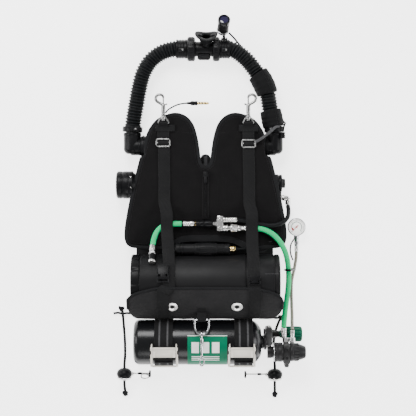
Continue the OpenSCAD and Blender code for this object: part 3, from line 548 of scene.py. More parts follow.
display = [
    (0.059, 0.438, 0.049), (0.071, 0.4275, 0.038), (0.084, 0.414, 0.026),
    (0.099, 0.399, 0.016), (0.117, 0.383, 0.012), (0.136, 0.361, 0.012), (0.153, 0.337, 0.012),
    (0.166, 0.312, 0.012), (0.175, 0.284, 0.012), (0.179, 0.260, 0.012),
    (0.183, 0.242, 0.0115), (0.1905, 0.2275, 0.0145), (0.1975, 0.218, 0.022), (0.2005, 0.2135, 0.032),
    (0.1985, 0.2095, 0.0425), (0.1955, 0.2015, 0.0495), (0.194, 0.191, 0.0515)
]


def cord(name, route, r, mat, body="vest", rib=None):
    """A cord: a tube along its route, with a relief of its radius, rib, along it."""
    fine = spaced(smooth(np.array(route) * 1000, 14), min(1.2, r * 0.45))
    s = lengths(fine)
    scale = [1 + (rib(x) if rib else 0) for x in s]
    obj = piece(name, sweep(fine, circle(r, 20), scale), mat, body, name)


def braid(pitch, height):
    """The relief of a braided cover, for cord."""
    return lambda s: height * math.cos(2 * math.pi * s / pitch)


def knot(name, centre, r, tail):
    """A knot: a loop of cord wound over itself, with a short cut tail."""
    c, tail = np.array(centre, float), np.array(tail, float)
    t = np.linspace(0, 2 * math.pi, 60, endpoint=False)
    trefoil = np.stack([np.sin(t) + 2 * np.sin(2 * t), np.cos(t) - 2 * np.cos(2 * t), -1.1 * np.sin(3 * t)],
                       axis=1)
    cut_end = smooth([c, c + 0.6 * tail, c + tail], 6)
    return piece(name, [sweep(trefoil * (r * 0.27) + c, circle(r * 0.42, 12), closed=True),
                        sweep(cut_end, circle(r * 0.4, 12))], ELASTIC, "vest")


PLUG = (-36.9, 261, 62)        # where the sensor cable ends
plug = piece("sensor_plug", [
    lathe([(16.9, 0), (16.9, 3.6), (20.6, 3.6), (21, 3), (21, 0)], PLUG, X, 40, 0.25),
    *[lathe([(s, 0), (s, 3.2), (s + 0.5, 3.6), (s + 4.3, 3.6), (s + 4.8, 3.2), (s + 4.8, 0)], PLUG, X, 40,
            0.2) for s in (23, 30.2)],
    lathe([(37.4, 0), (37.4, 3.6), (42, 3.6), (43.2, 2.2), (44, 2.4), (46.5, 1.2), (46.5, 0)], PLUG, X, 40,
          0.25),
], GOLD, "vest", "sensor_plug")
plug_body = piece("plug_body", lathe([
    (0, 0), (0, 4.4), (1.5, 5.5), (9, 5.5), (9.6, 4.9), (10.4, 4.9), (11, 5.5), (16.2, 5.5), (16.9, 4.8),
    (16.9, 3.2), (38, 3.2), (38, 0)], PLUG, X, 40, 0.25), PLASTIC, "vest")
relief = piece("sensor_relief", lathe([(0, 0), (0, 2.6), (9, 3.6), (10, 3.6), (10, 0)], (-46.5, 261.2, 63.2),
                                      (1, -0.02, -0.13), 24), SILICONE, "vest")

cord("hose_green_left", green_left, 6.8, GREEN)
cord("hose_green_right", green_right, 6.8, GREEN)
cord("hose_gauge", gauge_line, 4.0, GREY_HOSE, rib=braid(2.2, 0.03))
cord("hose_black", black, 5.4, RUBBER)
for side, ends in (("left", (((-213, -256, 7.1), (-7, 6, -2)), ((-204, -470, 7.1), (6, -5, -2)))),
                   ("right", (((191, -278, 7.1), (6, 6, -2)), ((176, -473, 7.1), (-5, -5, -2))))):
    [knot(f"knot_{side}_{i}", centre, 6.6, tail) for i, (centre, tail) in enumerate(ends)]
for side, route in (("left", bungee_left), ("right", bungee_right)):
    cord(f"bungee_{side}", route, 3.3, ELASTIC, rib=braid(2.6, 0.05))
cord("sensor_cable", sensor, 1.9, RUBBER)
cord("hud_cable", display, 2.4, RUBBER, "loop")

# ---------------------------------------------------------------- vest

HALF = [
    (0, -86), (70, -86), (98, -102), (168, -101), (191, -96), (201, -82), (202.5, -56), (196, -12),
    (183, 50), (164, 126), (152, 167), (142, 196), (118, 224), (79, 238), (50, 231), (30, 209),
    (19.5, 175), (15, 147), (12, 124), (8, 111), (0, 106)
]
half = smooth([(x, y, 0) for x, y in HALF], 8)[:, :2]
outline = spaced(np.vstack([half, [(-x, y) for x, y in half[-2:0:-1]], half[:1]]), 6)[:-1]


def inset(path, d):
    """A closed outline that runs anticlockwise, moved inwards."""
    t = tangents(path, closed=True)
    return path + d * np.stack([-t[:, 1], t[:, 0]], axis=1)


def edge_distance(points, path):
    """How far points are from an outline."""
    out = np.full(len(points), 1e9)
    for a, b in zip(path, np.roll(path, -1, 0)):
        ab = b - a
        t = np.clip(((points - a) @ ab) / (ab @ ab), 0, 1)
        out = np.minimum(out, np.linalg.norm(points - a - t[:, None] * ab, axis=1))
    return out


def wave(x, y, scale, seed=0.0):
    """Smooth unevenness of cloth, from -1 to 1, whose humps are about scale apart."""
    return noise.noise(Vector((x / scale + seed, y / scale - seed, seed * 1.7)))


def vest_z(x, y):
    """Height of the vest's front at a point: a padded sheet that dips to its edge."""
    d = float(edge_distance(np.array([[x, y]], float), outline)[0])
    z = 58.0 + 7.6 * (1 - math.exp(-d / 13)) + 0.9 * wave(x, y, 34, 3.1) + 0.5 * wave(x, y, 13, 9.7)
    z -= 1.2 * math.exp(-((abs(x) - 15) / 5) ** 2) * (-60 < y < 108)          # beside the zip
    for row, rise in ((186, 0.5), (-22, 0.4)):                                 # seams across
        z -= 0.9 * math.exp(-((y - row - rise * abs(x) * 0.1) / 2.2) ** 2)
    return min(z, 66.0)


def seats(p, margin=0.0):
    """Keeps cloth clear of the ports and of the two addition valves."""
    x, y, z = p
    if abs(y - 154) < 28:
        x = min(max(x, -148.8), 148.3 - margin)
    if math.dist((y, z), ADV) < 36:
        x = max(x, -180.4)
    if math.dist((y, z), O2) < 24:
        x = min(x, 172.4)
    return x, y, z


def padded_panel(path, rings, top):
    """A padded sheet: rings of (inset, height) up its edge, then a surface over the middle."""
    step = 7.0
    n = len(path)
    pts, faces = [], []
    for k, (d, z) in enumerate(rings):
        ring = inset(path, d)
        for i, (x, y) in enumerate(ring):
            ruck = 0.8 * wave(x, y, 21, 5.0 + z / 60) * min(1, k, len(rings) - 1 - k)
            pts.append((x, y, z + ruck))
        if k:
            a, b = (k - 1) * n, k * n
            faces += [(a + i, a + (i + 1) % n, b + (i + 1) % n, b + i) for i in range(n)]
    rim = inset(path, rings[-1][0])
    low, high = rim.min(0), rim.max(0)
    grid = np.array([(x, y) for y in np.arange(low[1], high[1], step * 0.87)
                     for x in np.arange(low[0], high[0], step)
                     + (round(y / step) % 2) * step / 2])
    keep = (edge_distance(grid, rim) > step * 0.55) & inside(grid, rim)
    verts = [Vector(p) for p in np.vstack([rim, grid[keep]])]
    vs, _, fs, _, _, _ = delaunay_2d_cdt(verts, [(i, (i + 1) % n) for i in range(n)],
                                         [tuple(range(n))], 1, 1e-4)
    base = len(pts)
    pts[-n:] = [(x, y, top(x, y)) for x, y in rim]
    pts += [(v.x, v.y, top(v.x, v.y)) for v in vs]
    faces += [tuple(base + i for i in f) for f in fs]
    return np.array([seats(p) for p in pts]), faces


def inside(points, path):
    """Which points are inside an outline."""
    hit = np.zeros(len(points), bool)
    for a, b in zip(path, np.roll(path, -1, 0)):
        crosses = (a[1] > points[:, 1]) != (b[1] > points[:, 1])
        with np.errstate(divide="ignore", invalid="ignore"):
            x = a[0] + (points[:, 1] - a[1]) * (b[0] - a[0]) / (b[1] - a[1])
        hit ^= crosses & (points[:, 0] < x)
    return hit


def stitches(path, gap=5.0, size=3.0, thick=0.45):
    """Sewing thread seen as short raised dashes along a path on a surface."""
    out = []
    s = lengths(path)
    for start in np.arange(gap, s[-1] - gap, gap):
        a, b = (np.array([np.interp(start + e, s, path[:, k]) for k in range(3)]) for e in (0, size))
        out.append(sweep(smooth([a, (a + b) / 2 + (0, 0, 0.25), b], 2), circle(thick, 6)))
    return out


def lying(path, lift=0.0):
    """A path in X and Y laid on the front of the vest."""
    return np.array([(x, y, vest_z(x, y) + lift) for x, y in path])


front = padded_panel(outline, [(8.5, 4.0), (3.5, 7), (0.8, 14), (0, 24), (0, 36), (1.5, 47),
                               (4.5, 54.5), (9, 59)], vest_z)
vest_back = plate(inset(outline, 8.5), 3.0, 4.2, 0)
cover = piece("vest_cover", [front, vest_back], CLOTH, "vest", "vest_cover", sharp=60)

for name, d, z, width, thick in (("binding_front", 5.6, 59.6, 10.5, 3.4), ("binding_back", 6.5, 5.2, 9, 3.2)):
    rim = np.array([seats((x, y, z + 0.4 * wave(x, y, 18, 2)), width / 2) for x, y in inset(outline, d)])
    piece(name, sweep(rim, slab(width, thick), closed=True), BINDING, "vest")
seam = inset(outline, 12.4)
loop_seam = np.array([seats(p) for p in lying(np.vstack([seam, seam[:1]]), 0.2)])
piece("binding_stitches", stitches(loop_seam, 5.5, 3.2, 0.4), STITCH, "vest")

# Seams across the lobes, and the wide band over the hem
for i, (x0, x1) in enumerate(((28, 140), (-140, -28))):
    line = smooth([(x0, 186, 0), ((x0 + x1) / 2, 190, 0), (x1, 186, 0)], 16)[:, :2]
    piece(f"lobe_seam_{i}", stitches(lying(line, 0.15), 4.6, 3.2, 0.4), STITCH, "vest")
hem = [(-97, -95), (-84, -88), (-62, -78.5), (-30, -75.5), (0, -75.5), (32, -75.5), (66, -79), (90, -89),
       (101, -96)]
hem_path = lying(spaced(smooth([(*p, 0) for p in hem], 8)[:, :2], 4), 0.4)
piece("hem_band", sweep(hem_path, slab(17, 2.4)), BINDING, "vest")
for side in (-1, 1):
    edge = hem_path + (0, side * 7.2, 1.15)
    piece(f"hem_stitches_{side + 1}", stitches(edge, 5, 3.2, 0.4), STITCH, "vest")

for i, x0 in enumerate((-56, 31)):
    square = np.array([(x0, 0), (x0 + 20, 0), (x0 + 20, 75), (x0, 75), (x0, 0)], float)
    piece(f"panel_stitches_{i}", stitches(lying(spaced(square, 4), 0.1), 5, 3.2, 0.35), BINDING, "vest")

# The stiff back sheet, its tail under the canister and its tongue
tongue = [(-15, 60), (15, 60), (15, 116), (13, 126)]
tongue += [(12 * math.cos(a), 128 + 9 * math.sin(a)) for a in np.linspace(0.3, math.pi - 0.3, 9)]
tongue += [(-13, 126), (-15, 116)]
piece("back_panel", [plate(inset(outline, 11.5), 0.1, 2.6, 0.6), plate(tongue, 0.3, 2.7, 0.5),
                     box((-176, -156, 0.1), (172, -76, 2.6), 0.7)],
      SATIN, "vest", "back_panel")
piece("tongue_strip", moved(plate(slab(9, 24, 1.5, 5), 2.7, 4.0, 0.5), at(0, 120, 0)), GREY_WEB, "vest")
quilt = inset(outline, 24)
quilt_line = np.array([(x, y, 0.0) for x, y in np.vstack([quilt, quilt[:1]])])
piece("back_stitches", stitches(quilt_line, 9, 5, 0.5), STITCH, "vest")

# Zip: tape, two rows of teeth, slider
zip_line = np.array([(0, y, 66.5) for y in np.arange(-28, 92.1, 3)])
teeth = []
for i, y in enumerate(np.arange(-26, 90, 1.3)):
    x0, x1 = (-0.4, 2.6) if i % 2 else (-2.6, 0.4)
    teeth.append(box((x0, y - 0.5, 66.8), (x1, y + 0.5, 68.1), 0.2))
piece("zip_tape", sweep(zip_line, slab(18, 0.9, 0.4)), CLOTH, "vest", "zip_chain")
piece("zip_teeth", teeth, PLASTIC, "vest", "zip_chain")
for s in (-1, 1):
    row = np.array([(s * 7.6, y, 67.0) for y in np.arange(-26, 91, 3)])
    piece(f"zip_stitches_{s + 1}", stitches(row, 4, 2.8, 0.3), STITCH, "vest")
pull = [(-2.6, 62), (2.6, 62), (4.1, 66), (3.2, 72), (3.4, 78), (-3.4, 78), (-3.2, 72), (-4.1, 66)]
bridge = smooth([(0, 89, 71), (0, 86, 74.5), (0, 80, 74.5), (0, 78.4, 71.4)], 5)
piece("zip_slider", [
    box((-5, 77, 67.2), (5, 90, 68.6), 0.6), box((-5, 77, 70.2), (5, 90, 71.6), 0.7),
    box((-2, 84, 68.4), (2, 89.6, 70.4), 0.4), sweep(bridge, slab(3, 1.3), up=Y),
    plate(pull, 70.9, 72.4, 0.5),
], SATIN, "zip_slider", "zip_slider")

# ---------------------------------------------------------------- harness

STRAP_Z = 66.3            # the lower face of the harness on the vest


def pouch_r(a):
    """The radius of the pouch's front about the canister's axis, which grows towards the cylinder."""
    return 74 + 14 * (max(0.0, a - 100) / 80) ** 1.5


def strap_route(x_top, x_mid, x_hem, x_can, x_low):
    """A strap's lower face: down the vest, up onto the canister and over the pouch."""
    p = [(x_top, 205, STRAP_Z), ((x_top + x_mid) / 2, 125, STRAP_Z), (x_mid, 53, STRAP_Z),
         (x_mid, 12, STRAP_Z + 4), (x_hem, -18, 85.5), (x_hem, -64, 86.5)]
    p += [(x_can, *on_circle(*CAN, 70.8, a)) for a in range(47, 96, 12)]
    p += [(x_low, *on_circle(*CAN, pouch_r(a) + 1.6, a)) for a in (104, 118, 132, 146, 160, 170)]
    return spaced(smooth(p, 10), 4)


def ribbon(path, w, t, waves=0.0, seed=0.0):
    """Webbing whose width lies along X, with its lower face on a path."""
    p = np.array(path, float)
    up = outward(p)
    if waves:
        p = p + np.array([(waves * wave(y, z, 40, seed), 0, 0) for _, y, z in p])
    return sweep(p + up * t / 2, slab(w, t, t * 0.45), up=up)


SLIDES = ((-105, 162), (107, 160))       # the middles of the two tri-glides
STRAP_W, STRAP_T = 30, 2.5
strap_shapes, strap_stitches = [], []
for route, seed in (((-105, -102, -95, -89, -103), 1.0), ((106, 109, 115, 118, 120), 5.0)):
    x = route[0]
    path = strap_route(*route)
    strap_shapes.append(ribbon(path, STRAP_W, STRAP_T, 1.6, seed))
    fold = spaced(smooth([(x, y, z) for y, z in (
        (190, 69), (201, 70), (207.5, 75.4), (211, 78.4), (214.6, 75), (211.6, 71), (204, 68.6), (192, 67.6)
    )], 8), 1.5)
    strap_shapes.append(sweep(fold, slab(24, 1.8, 0.8), up=outward(fold)))
    flap_x = x + (5 if x < 0 else 1)
    flap = [(flap_x, y, 69.0 + 1.2 * math.sin((y - 190) / 17 * math.pi)) for y in np.arange(190.5, 208, 1.5)]
    strap_shapes.append(ribbon(flap, 48, 2.4))
    for y in (193, 205):
        row = np.array([(flap_x + e, y, 72.3) for e in range(-22, 23, 2)])
        strap_stitches += stitches(row, 4, 2.8, 0.4)
    on_vest = path[path[:, 1] > 20]
    for off in (-13.2, 13.2):
        strap_stitches += stitches(on_vest + outward(on_vest) * STRAP_T + (off, 0, 0), 4.6, 3.0, 0.4)
for x, y in SLIDES:       # the webbing lies over each slide's middle bar
    hump = smooth([(x, y + e, z) for e, z in ((-8, 69.2), (-5, 71.2), (0, 73.0), (5, 71.2), (8, 69.2))], 5)
    strap_shapes.append(ribbon(spaced(hump, 1), 26, 1.5))
piece("straps", strap_shapes, WEBBING, "vest", "straps")
piece("strap_stitches", strap_stitches, STITCH, "vest")

hardware = []
slide = np.array([(x, y, 0) for x, y in slab(33.4, 18.4, 4.5, 6)])
slide = spaced(np.vstack([slide, slide[:1]]), 0.9)[:-1]
for x, y in SLIDES:
    hardware.append(moved(sweep(slide, slab(3.3, 2.6, 1.2), closed=True), at(x, y, 71.6)))
    hardware.append(moved(box((-15, -2, -1.2), (15, 2, 1.2), 0.9), at(x, y, 71.4)))
EYE = [(-12, 211), (0, 211), (12, 211), (10.4, 217), (5, 223.4), (0, 225), (-5, 223.4), (-10.4, 217)]
for x in (-104.5, 106):
    wire = smooth([(x + a, b, 75) for a, b in EYE + EYE[:1]], 8)[:-1]
    hardware.append(sweep(wire, circle(2.2, 14), closed=True))
    hardware.append(tube((x, 221, 75), (x, 229, 75), 6, 3.1, 0.8))
    hardware.append(tube((x, 223.6, 75), (x, 226.4, 75), 6.7, 5.5, 0.5))


def on_band(shape, x):
    """A shape given in the frame of a cam buckle, whose Z runs outwards from the cylinder."""
    return moved(shape, at(x, *TANK, 28))


ARM = [(-33, 55), (-20, 57.4), (0, 60), (14, 59.4), (33, 54.8), (33.4, 60), (31, 67), (27, 70), (21, 70.2),
       (15, 67.4), (4, 64.6), (-24, 63), (-31, 62), (-33.6, 59)]
frames = []
CAM_X = {"left": -101, "right": 89}
for x in CAM_X.values():
    for s in (-1, 1):
        arm = plate([(b, a) for a, b in ARM][::-1], -1.5, 1.5, 0.7)       # Z first, then Y
        turn = Matrix(((0, 0, 1, s * 30), (0, 1, 0, 0), (1, 0, 0, 0), (0, 0, 0, 1)))
        frames.append(on_band(moved(arm, turn), x))
        frames.append(on_band(rod((s * 31.4, 24, 65), (s * 33.4, 24, 65), 4.2, 0.8), x))
        lo, hi = sorted((s * 28.6, s * 34))
        frames.append(on_band(box((lo, -30, 61.4), (hi, 6, 64.4), 1.2), x))
    frames.append(on_band(box((-30, -33, 58.4), (30, -28.4, 62.4), 1.6), x))
    frames.append(on_band(rod((-30, 11, 61.6), (30, 11, 61.6), 1.8, 0.3), x))
piece("cam_frames", frames, CREAM, "vest", "strap_hardware")
piece("strap_hardware", hardware, PEWTER, "vest", "strap_hardware")

for side, x in CAM_X.items():
    lever = [rod((-33, 24, 65), (33, 24, 65), 2, 0.4), rod((-28, 24, 65), (28, 24, 65), 4.1, 0.8)]
    lip = smooth([(0, 27.5, 68.6), (0, 23, 70), (0, 12, 68.9), (0, 5, 67.6), (0, 1.5, 68.6)], 6)
    lever.append(sweep(lip, slab(56, 2.6, 1.1), up=outward(lip)))
    for s in (-1, 1):
        lever.append(box((s * 24 - 3, 3, 67), (s * 24 + 3, 22, 71.4), 1.2))
    lever.append(moved(plate(slab(30, 9, 3, 5), 0, 0.7, 0.3), at(0, 13.5, 70.1, 4)))
    piece(f"cam_lever_{side}", [on_band(s, x) for s in lever], CREAM, f"cam_lever_{side}",
          f"cam_lever_{side}")


def on_can(shape, x, a):
    """Bends a shape round the canister: its Y becomes the arc from angle a, its Z the height above 70."""
    pts, faces = shape
    out = [(x + p[0], *on_circle(*CAN, 70 + p[2], a + math.degrees(p[1] / 75))) for p in pts]
    return np.array(out), faces


# Side-release buckles bent to the canister. A bar is (x, y0, y1, z0, z1, point spacing, section), with
# y as a part of half the buckle's length.
buckle = []
for x, a0, a1 in ((-103, 52, 86), (119, 74, 90)):
    half_l = math.radians(a1 - a0) * 75 / 2
    mid = (a0 + a1) / 2
    body = spaced(np.array([(0, -half_l, 6.6), (0, half_l * 0.1, 6.9)]), 2)
    taper = [(1.0 - 0.12 * i / len(body), 1) for i in range(len(body))]
    buckle.append(on_can(sweep(body, slab(30, 5.4, 2.2, 4), taper), x, mid))
    bars = [(0, 0.1, 0.45, 6.6, 6.6, 1.5, slab(15, 4, 1.6, 4)),
            (0, 0.42, 0.66, 6.5, 6.3, 1.5, slab(29, 4.8, 1.9, 4)),
            (0, 0.9, 1, 5.8, 5.8, 99, slab(29, 3.6, 1.5, 4))]
    for s in (-1, 1):
        prong = [(s * 10.5, half_l * 0.05, 6.4), (s * 13, half_l * 0.25, 6.4), (s * 11, half_l * 0.5, 6.4)]
        buckle.append(on_can(sweep(smooth(prong, 6), slab(3.6, 4.2, 1.4)), x, mid))
        bars.append((s * 13, 0.6, 0.95, 6.0, 5.8, 99, slab(3, 3.4, 1.2)))
    for bx, y0, y1, z0, z1, step, section in bars:
        bar = spaced(np.array([(bx, half_l * y0, z0), (bx, half_l * y1, z1)]), step)
        buckle.append(on_can(sweep(bar, section), x, mid))
piece("buckles", buckle, PLASTIC, "vest", "buckles")

# ---------------------------------------------------------------- ports and addition valves

ports = []
for f0, f1, s0, s1 in ((-161.7, -149.3, -178, -136), (148.8, 150.7, 136, 168)):
    ports.append(lathe([(f0, 17), (f0, 26.6), (f1, 27.2), (f1, 17)], (0, *PORT), X, 56, 0.6))
    ports.append(tube((s0, *PORT), (s1, *PORT), 17.9, 15, 0.5, 48))
ports.append(lathe([(-158.5, 26), (-158.5, 28.2), (-154, 28.2), (-154, 26)], (0, *PORT), X, 56, 0.8,
                   lobes=lambda s, t: 1 + 0.012 * math.cos(24 * t)))
piece("loop_ports", ports, PLASTIC, "vest", "loop_ports")

piece("adv_body", [
    lathe([(-210, 32), (-210, 33.3), (-205.8, 33.3), (-205.6, 34.4), (-193, 34.5), (-192.6, 34), (-191.6, 34),
           (-191.2, 34.5), (-183, 34.5), (-181.4, 33.6), (-180.6, 31), (-172, 25), (-171, 15), (-166, 15),
           (-166, 11), (-190, 11), (-190, 32), (-210, 32)], (0, *ADV), X, 96, 0.3),
], PLASTIC, "vest", "adv_body")
screws = []
for y, z in arc(*ADV, 34.2, range(10, 370, 45)):
    screws.append(lathe([(0, 0), (0, 1.7), (0.9, 1.5), (1.1, 0)], (-186.4, y, z), (0, y - ADV[0], z - ADV[1]),
                        14, 0.2))
piece("adv_screws", screws, STEEL, "vest")
piece("adv_button", [
    lathe([(-224, 0), (-224, 24), (-223, 30.5), (-220.5, 33.6), (-218, 34.3), (-210.4, 34.4), (-210.2, 33.9),
           (-214.9, 33.9), (-214.9, 31.7), (-201, 31.7), (-201, 28.6), (-214, 28.6), (-214, 0)],
          (0, *ADV), X, 96, 0.2),
    lathe([(-224.6, 8), (-224.9, 9), (-224.9, 11), (-224.4, 12)], (0, *ADV), X, 48, 0),
], PLASTIC, "adv_button", "adv_button")

piece("o2_valve", [
    lathe([(192, 12.2), (192, 20.4), (190.4, 22), (186, 22), (185, 21), (183.4, 21), (182.4, 22), (174, 22),
           (173, 21), (173, 10), (160, 10), (160, 5), (184, 5), (184, 12.2), (192, 12.2)],
          (0, *O2), X, 56, 0.6),
    lathe([(0, 0), (0, 7.2), (1.4, 8), (12, 8), (12.6, 7.4), (14, 7.4), (14.6, 8), (32, 8), (32, 0)],
          (183, 28, 35), Y, 40, 0.4),
], PLASTIC, "vest", "o2_valve")
piece("o2_grip", lathe([(175, 19), (175, 22.4), (181.6, 22.4), (181.6, 19)], (0, *O2), X, 120, 0.4,
                       lobes=lambda s, t: 1 + 0.014 * math.cos(30 * t)), SATIN, "vest")
piece("o2_button", [
    lathe([(186.5, 0), (186.5, 11.9), (198.6, 11.9), (200, 10.6), (200, 8.4), (197.8, 7.4), (197.4, 0)],
          (0, *O2), X, 48, 0.5),
], ANTHRACITE, "o2_button", "o2_button")

# ---------------------------------------------------------------- scrubber canister

shell = lathe([(-160.8, 64), (-160.8, 69.2), (-159.8, 70), (-80, 70), (-80, 69.2), (-78.6, 69.2),
               (-78.6, 69.9), (98.2, 69.9), (98.2, 68.4), (101.8, 68.4), (101.8, 70), (168, 70), (168, 68.4),
               (171.8, 68.4), (171.8, 70), (180, 70), (183, 67), (183, 58), (180.4, 57), (180.4, 22),
               (182, 21), (182, 0)], (0, *CAN), X, 128, 0.9)
piece("canister", [shell, tube((-173, *CAN), (-160, *CAN), 65, 61, 0.4, 96)], SATIN, "vest", "canister")
piece("canister_sleeve", lathe([(-78.4, 69.6), (-78, 70.15), (97.6, 70.15), (98, 69.6)], (0, *CAN), X, 128,
                               0.2), SLEEVE, "vest")
end_ribs = [moved(box((179.6, -2, 24), (181.8, 2, 56), 0.6), at(0, *CAN, 30 * k)) for k in range(12)]
piece("canister_ribs", end_ribs, SATIN, "vest")


def scalloped(s, t):
    """Twelve finger notches round the lid's rim."""
    near = abs(math.remainder(t - math.pi / 2, math.pi / 6))
    return 1 - 0.045 * max(0.0, 1 - (near / 0.062) ** 2) if s < -165 else 1


piece("canister_lid", [
    lathe([(-161.6, 62), (-161.6, 69), (-162.6, 70), (-180.5, 70), (-183, 67.5), (-183, 60), (-180.6, 58),
           (-180.6, 26), (-182, 25), (-182, 0)], (0, *CAN), X, 240, 0.8, lobes=scalloped),
    *[moved(box((-182.4, -2, 28), (-180.2, 2, 57), 0.6), at(0, *CAN, 30 * k + 15)) for k in range(12)],
], PLASTIC, "lid", "canister_lid")
piece("tab_line", plate([(145, -159.4), (180, -159.4), (180, -160.8), (145, -160.8)], 134.6, 135.4, 0.3),
      GREY_WEB, "vest")

# ---------------------------------------------------------------- pouch over the canister

EDGE = np.array([(-191, -232), (-188, -219), (-168, -208), (-122, -196), (-60, -195), (0, -195), (60, -195),
                 (122, -196), (165, -207), (183, -218), (188, -232)], float)
LOW = np.array([(-191, 141), (-188, 150), (-180, 168), (-168, 186), (-140, 197), (0, 197), (140, 197),
                (168, 186), (178, 166), (186, 150), (188, 141)], float)


def pouch_at(x, v, lift=0.0):
    """A point of the pouch: v runs from its top edge, 0, to its hidden lower edge, 1."""
    y = float(np.interp(x, EDGE[:, 0], EDGE[:, 1]))
    a0 = math.degrees(math.acos(max(-1, (y - CAN[0]) / 77)))
    a = a0 + v * (max(float(np.interp(x, LOW[:, 0], LOW[:, 1])), a0 + 2) - a0)
    edge = min(v * 9, (1 - v) * 6, (191 - abs(x)) / 9, 1.0)
    plump = 2.2 * math.sqrt(max(edge, 0)) - 2.0
    crease = 1.0 * wave(x, a, 26, 2.5) + 0.5 * wave(x, a * 1.6, 9, 6.1)
    sag = 2.6 * math.exp(-((a - 178) / 14) ** 2)
    return (x, *on_circle(*CAN, pouch_r(a) + sag + plump + crease * max(edge, 0) + lift, a))


xs = np.concatenate([[-190.6, -189, -186.5, -183], np.arange(-179, 177, 4.0), [180, 183.5, 186, 187.4]])
vs = np.linspace(0, 1, 34) ** 1.15
outer = np.array([[pouch_at(x, v) for v in vs] for x in xs])
inner = outer.copy()
inner[..., 1:] = np.array(CAN) + unit(inner[..., 1:] - CAN) * 70.5
nx, nv = len(xs), len(vs)
number = np.arange(nx * nv).reshape(nx, nv)        # a point's number on the outer face
faces = []
for i in range(nx - 1):
    for j in range(nv - 1):
        quad = (number[i, j], number[i, j + 1], number[i + 1, j + 1], number[i + 1, j])
        faces += [quad[::-1], tuple(q + nx * nv for q in quad)]
border = [*number[:, 0], *number[-1, 1:], *number[-2::-1, -1], *number[0, -2:0:-1]]
faces += [(p, q, q + nx * nv, p + nx * nv) for p, q in zip(border, border[1:] + border[:1])]
faces = [tuple(int(q) for q in face) for face in faces]
pouch = piece("pouch", (np.concatenate([outer.reshape(-1, 3), inner.reshape(-1, 3)]), faces), POUCH, "vest",
              "pouch", sharp=70)
piping = [pouch_at(x, 0.0, 1.2) for x in xs[1:-1]]
ends = [[pouch_at(x, v, 1.4) for v in np.linspace(0.04, 0.8, 16)] for x in (-189.5, 187)]
piping = spaced(smooth(ends[0][::-1][::2] + piping[::3] + ends[1][::2], 6), 3)
piping_up = unit((piping - (0, *CAN)) * (0, 1, 1))
piece("pouch_piping", sweep(piping, circle(3.2, 12, 0.8), up=piping_up), BINDING, "vest")
seam_line = np.array([pouch_at(x, 0.085, 0.3) for x in np.arange(-176, 176, 3.0)])
piece("pouch_stitches", stitches(seam_line, 5.2, 3.2, 0.4), STITCH, "vest")

# The ring's tab, grommets, D-ring and the slim snap
tab = [on_circle(*CAN, pouch_r(a) + lift, a) for a, lift in ((138, 0.4), (144, 0.6), (149, 2.4))]
tab += [(-270, 122.4), (-274.4, 122.2), (-277.4, 118.6), (-275, 114.4)]
tab += [on_circle(*CAN, pouch_r(153) + 0.8, 153.5), on_circle(*CAN, pouch_r(158) + 0.2, 158)]
tab = spaced(smooth([(-9, y, z) for y, z in tab], 6), 1.5)
piece("ring_tab", sweep(tab, slab(22, 1.8, 0.8), up=outward(tab)), WEBBING, "vest")
eyelet = lathe([(-6, 5.5), (-6, 6.9), (-0.6, 7.2), (-0.4, 13), (0.3, 14), (1.3, 13), (2.2, 9.5), (1.6, 6.4),
                (0.2, 5.5), (-6, 5.5)], (0, 0, 0), Z, 48, 0.3)
piece("grommets", [moved(eyelet, at(x, *on_circle(*CAN, pouch_r(136), 136), 39)) for x in (-81, 77)],
      POLISHED, "vest", "grommets")

ring = [(-17, -273), (-8, -273), (8, -273), (17, -273), (17.2, -282), (17, -291)]
ring += arc(0, -291, 17, range(-20, -161, -20))
ring += [(-17, -291), (-17.2, -282)]
ring = smooth([(x - 9, y, 118) for x, y in ring + ring[:1]], 8)[:-1]
piece("d_ring", sweep(ring, circle(2.5, 16), closed=True), CHROME, "d_ring", "d_ring")
slim = [tube((-11, -309, 120), (-7, -309, 120), 8.6, 5, 0.9, 40),
        lathe([(9, 0), (9, 3.4), (10, 4.3), (22.6, 4.3), (24, 3.2), (25, 2.3), (27, 2.3), (28.4, 3.2),
               (52, 3.2), (56, 4.6), (58.5, 4.6), (60, 3), (60, 0)], (-9, -308, 120), (0, -1, 0), 32, 0.5)]
hook = [(0, 0), (4.6, -5), (4.9, -12), (3.2, -17.5), (0, -19.4), (-3.4, -17), (-4.2, -12)]
slim.append(sweep(smooth([(x - 9, y - 366, 120) for x, y in hook], 8), circle(1.9, 12)))
slim.append(rod((-13, -366, 120), (-13.2, -380, 120), 1.3, 0.4))
slim.append(rod((-13, -368, 120), (-17.5, -368, 120), 1.5, 0.5))
piece("hanging_snap", slim, CHROME, "hanging_snap", "hanging_snap")

# ---------------------------------------------------------------- cylinder, bands and label

tank = [(-178, 0), (-178, 40)]
tank += arc(-164, 42, 14, range(180, 89, -15))
tank += [(107 + 34.7 * math.sin(math.radians(a)), 56 - 43.4 * (1 - math.cos(math.radians(a))))
         for a in range(0, 64, 7)]
tank += [(139, 18.5), (140, 17), (145, 17), (145, 0)]
piece("cylinder", lathe(tank, (0, *TANK), X, 144, 1.0), GLOSS, "vest", "cylinder")


def patch(x0, x1, a0, a1, r, thick=0.15):
    """A thin sheet stuck on the cylinder, between two angles."""
    ang = np.linspace(a0, a1, max(2, int(abs(a1 - a0) / 3)))
    path = [((x0 + x1) / 2, y, z) for y, z in arc(*TANK, r, ang)]
    return sweep(path, slab(x1 - x0, thick, thick * 0.4, 1), up=outward(path))


piece("label", patch(-44, 53, 66, 205, 56.12), LABEL, "vest")
marks = [patch(-44, 53, 67, 68.6, 56.25), patch(-44, 53, 201, 202.6, 56.25)]
marks += [patch(x, x + 18, 84, 112, 56.25) for x in (-34, -9, 16)]      # plain blocks, no lettering
marks += [patch(-34, 34, a, a + 2.4, 56.25) for a in (122, 128, 134)]
piece("label_marks", marks, WHITE, "vest")

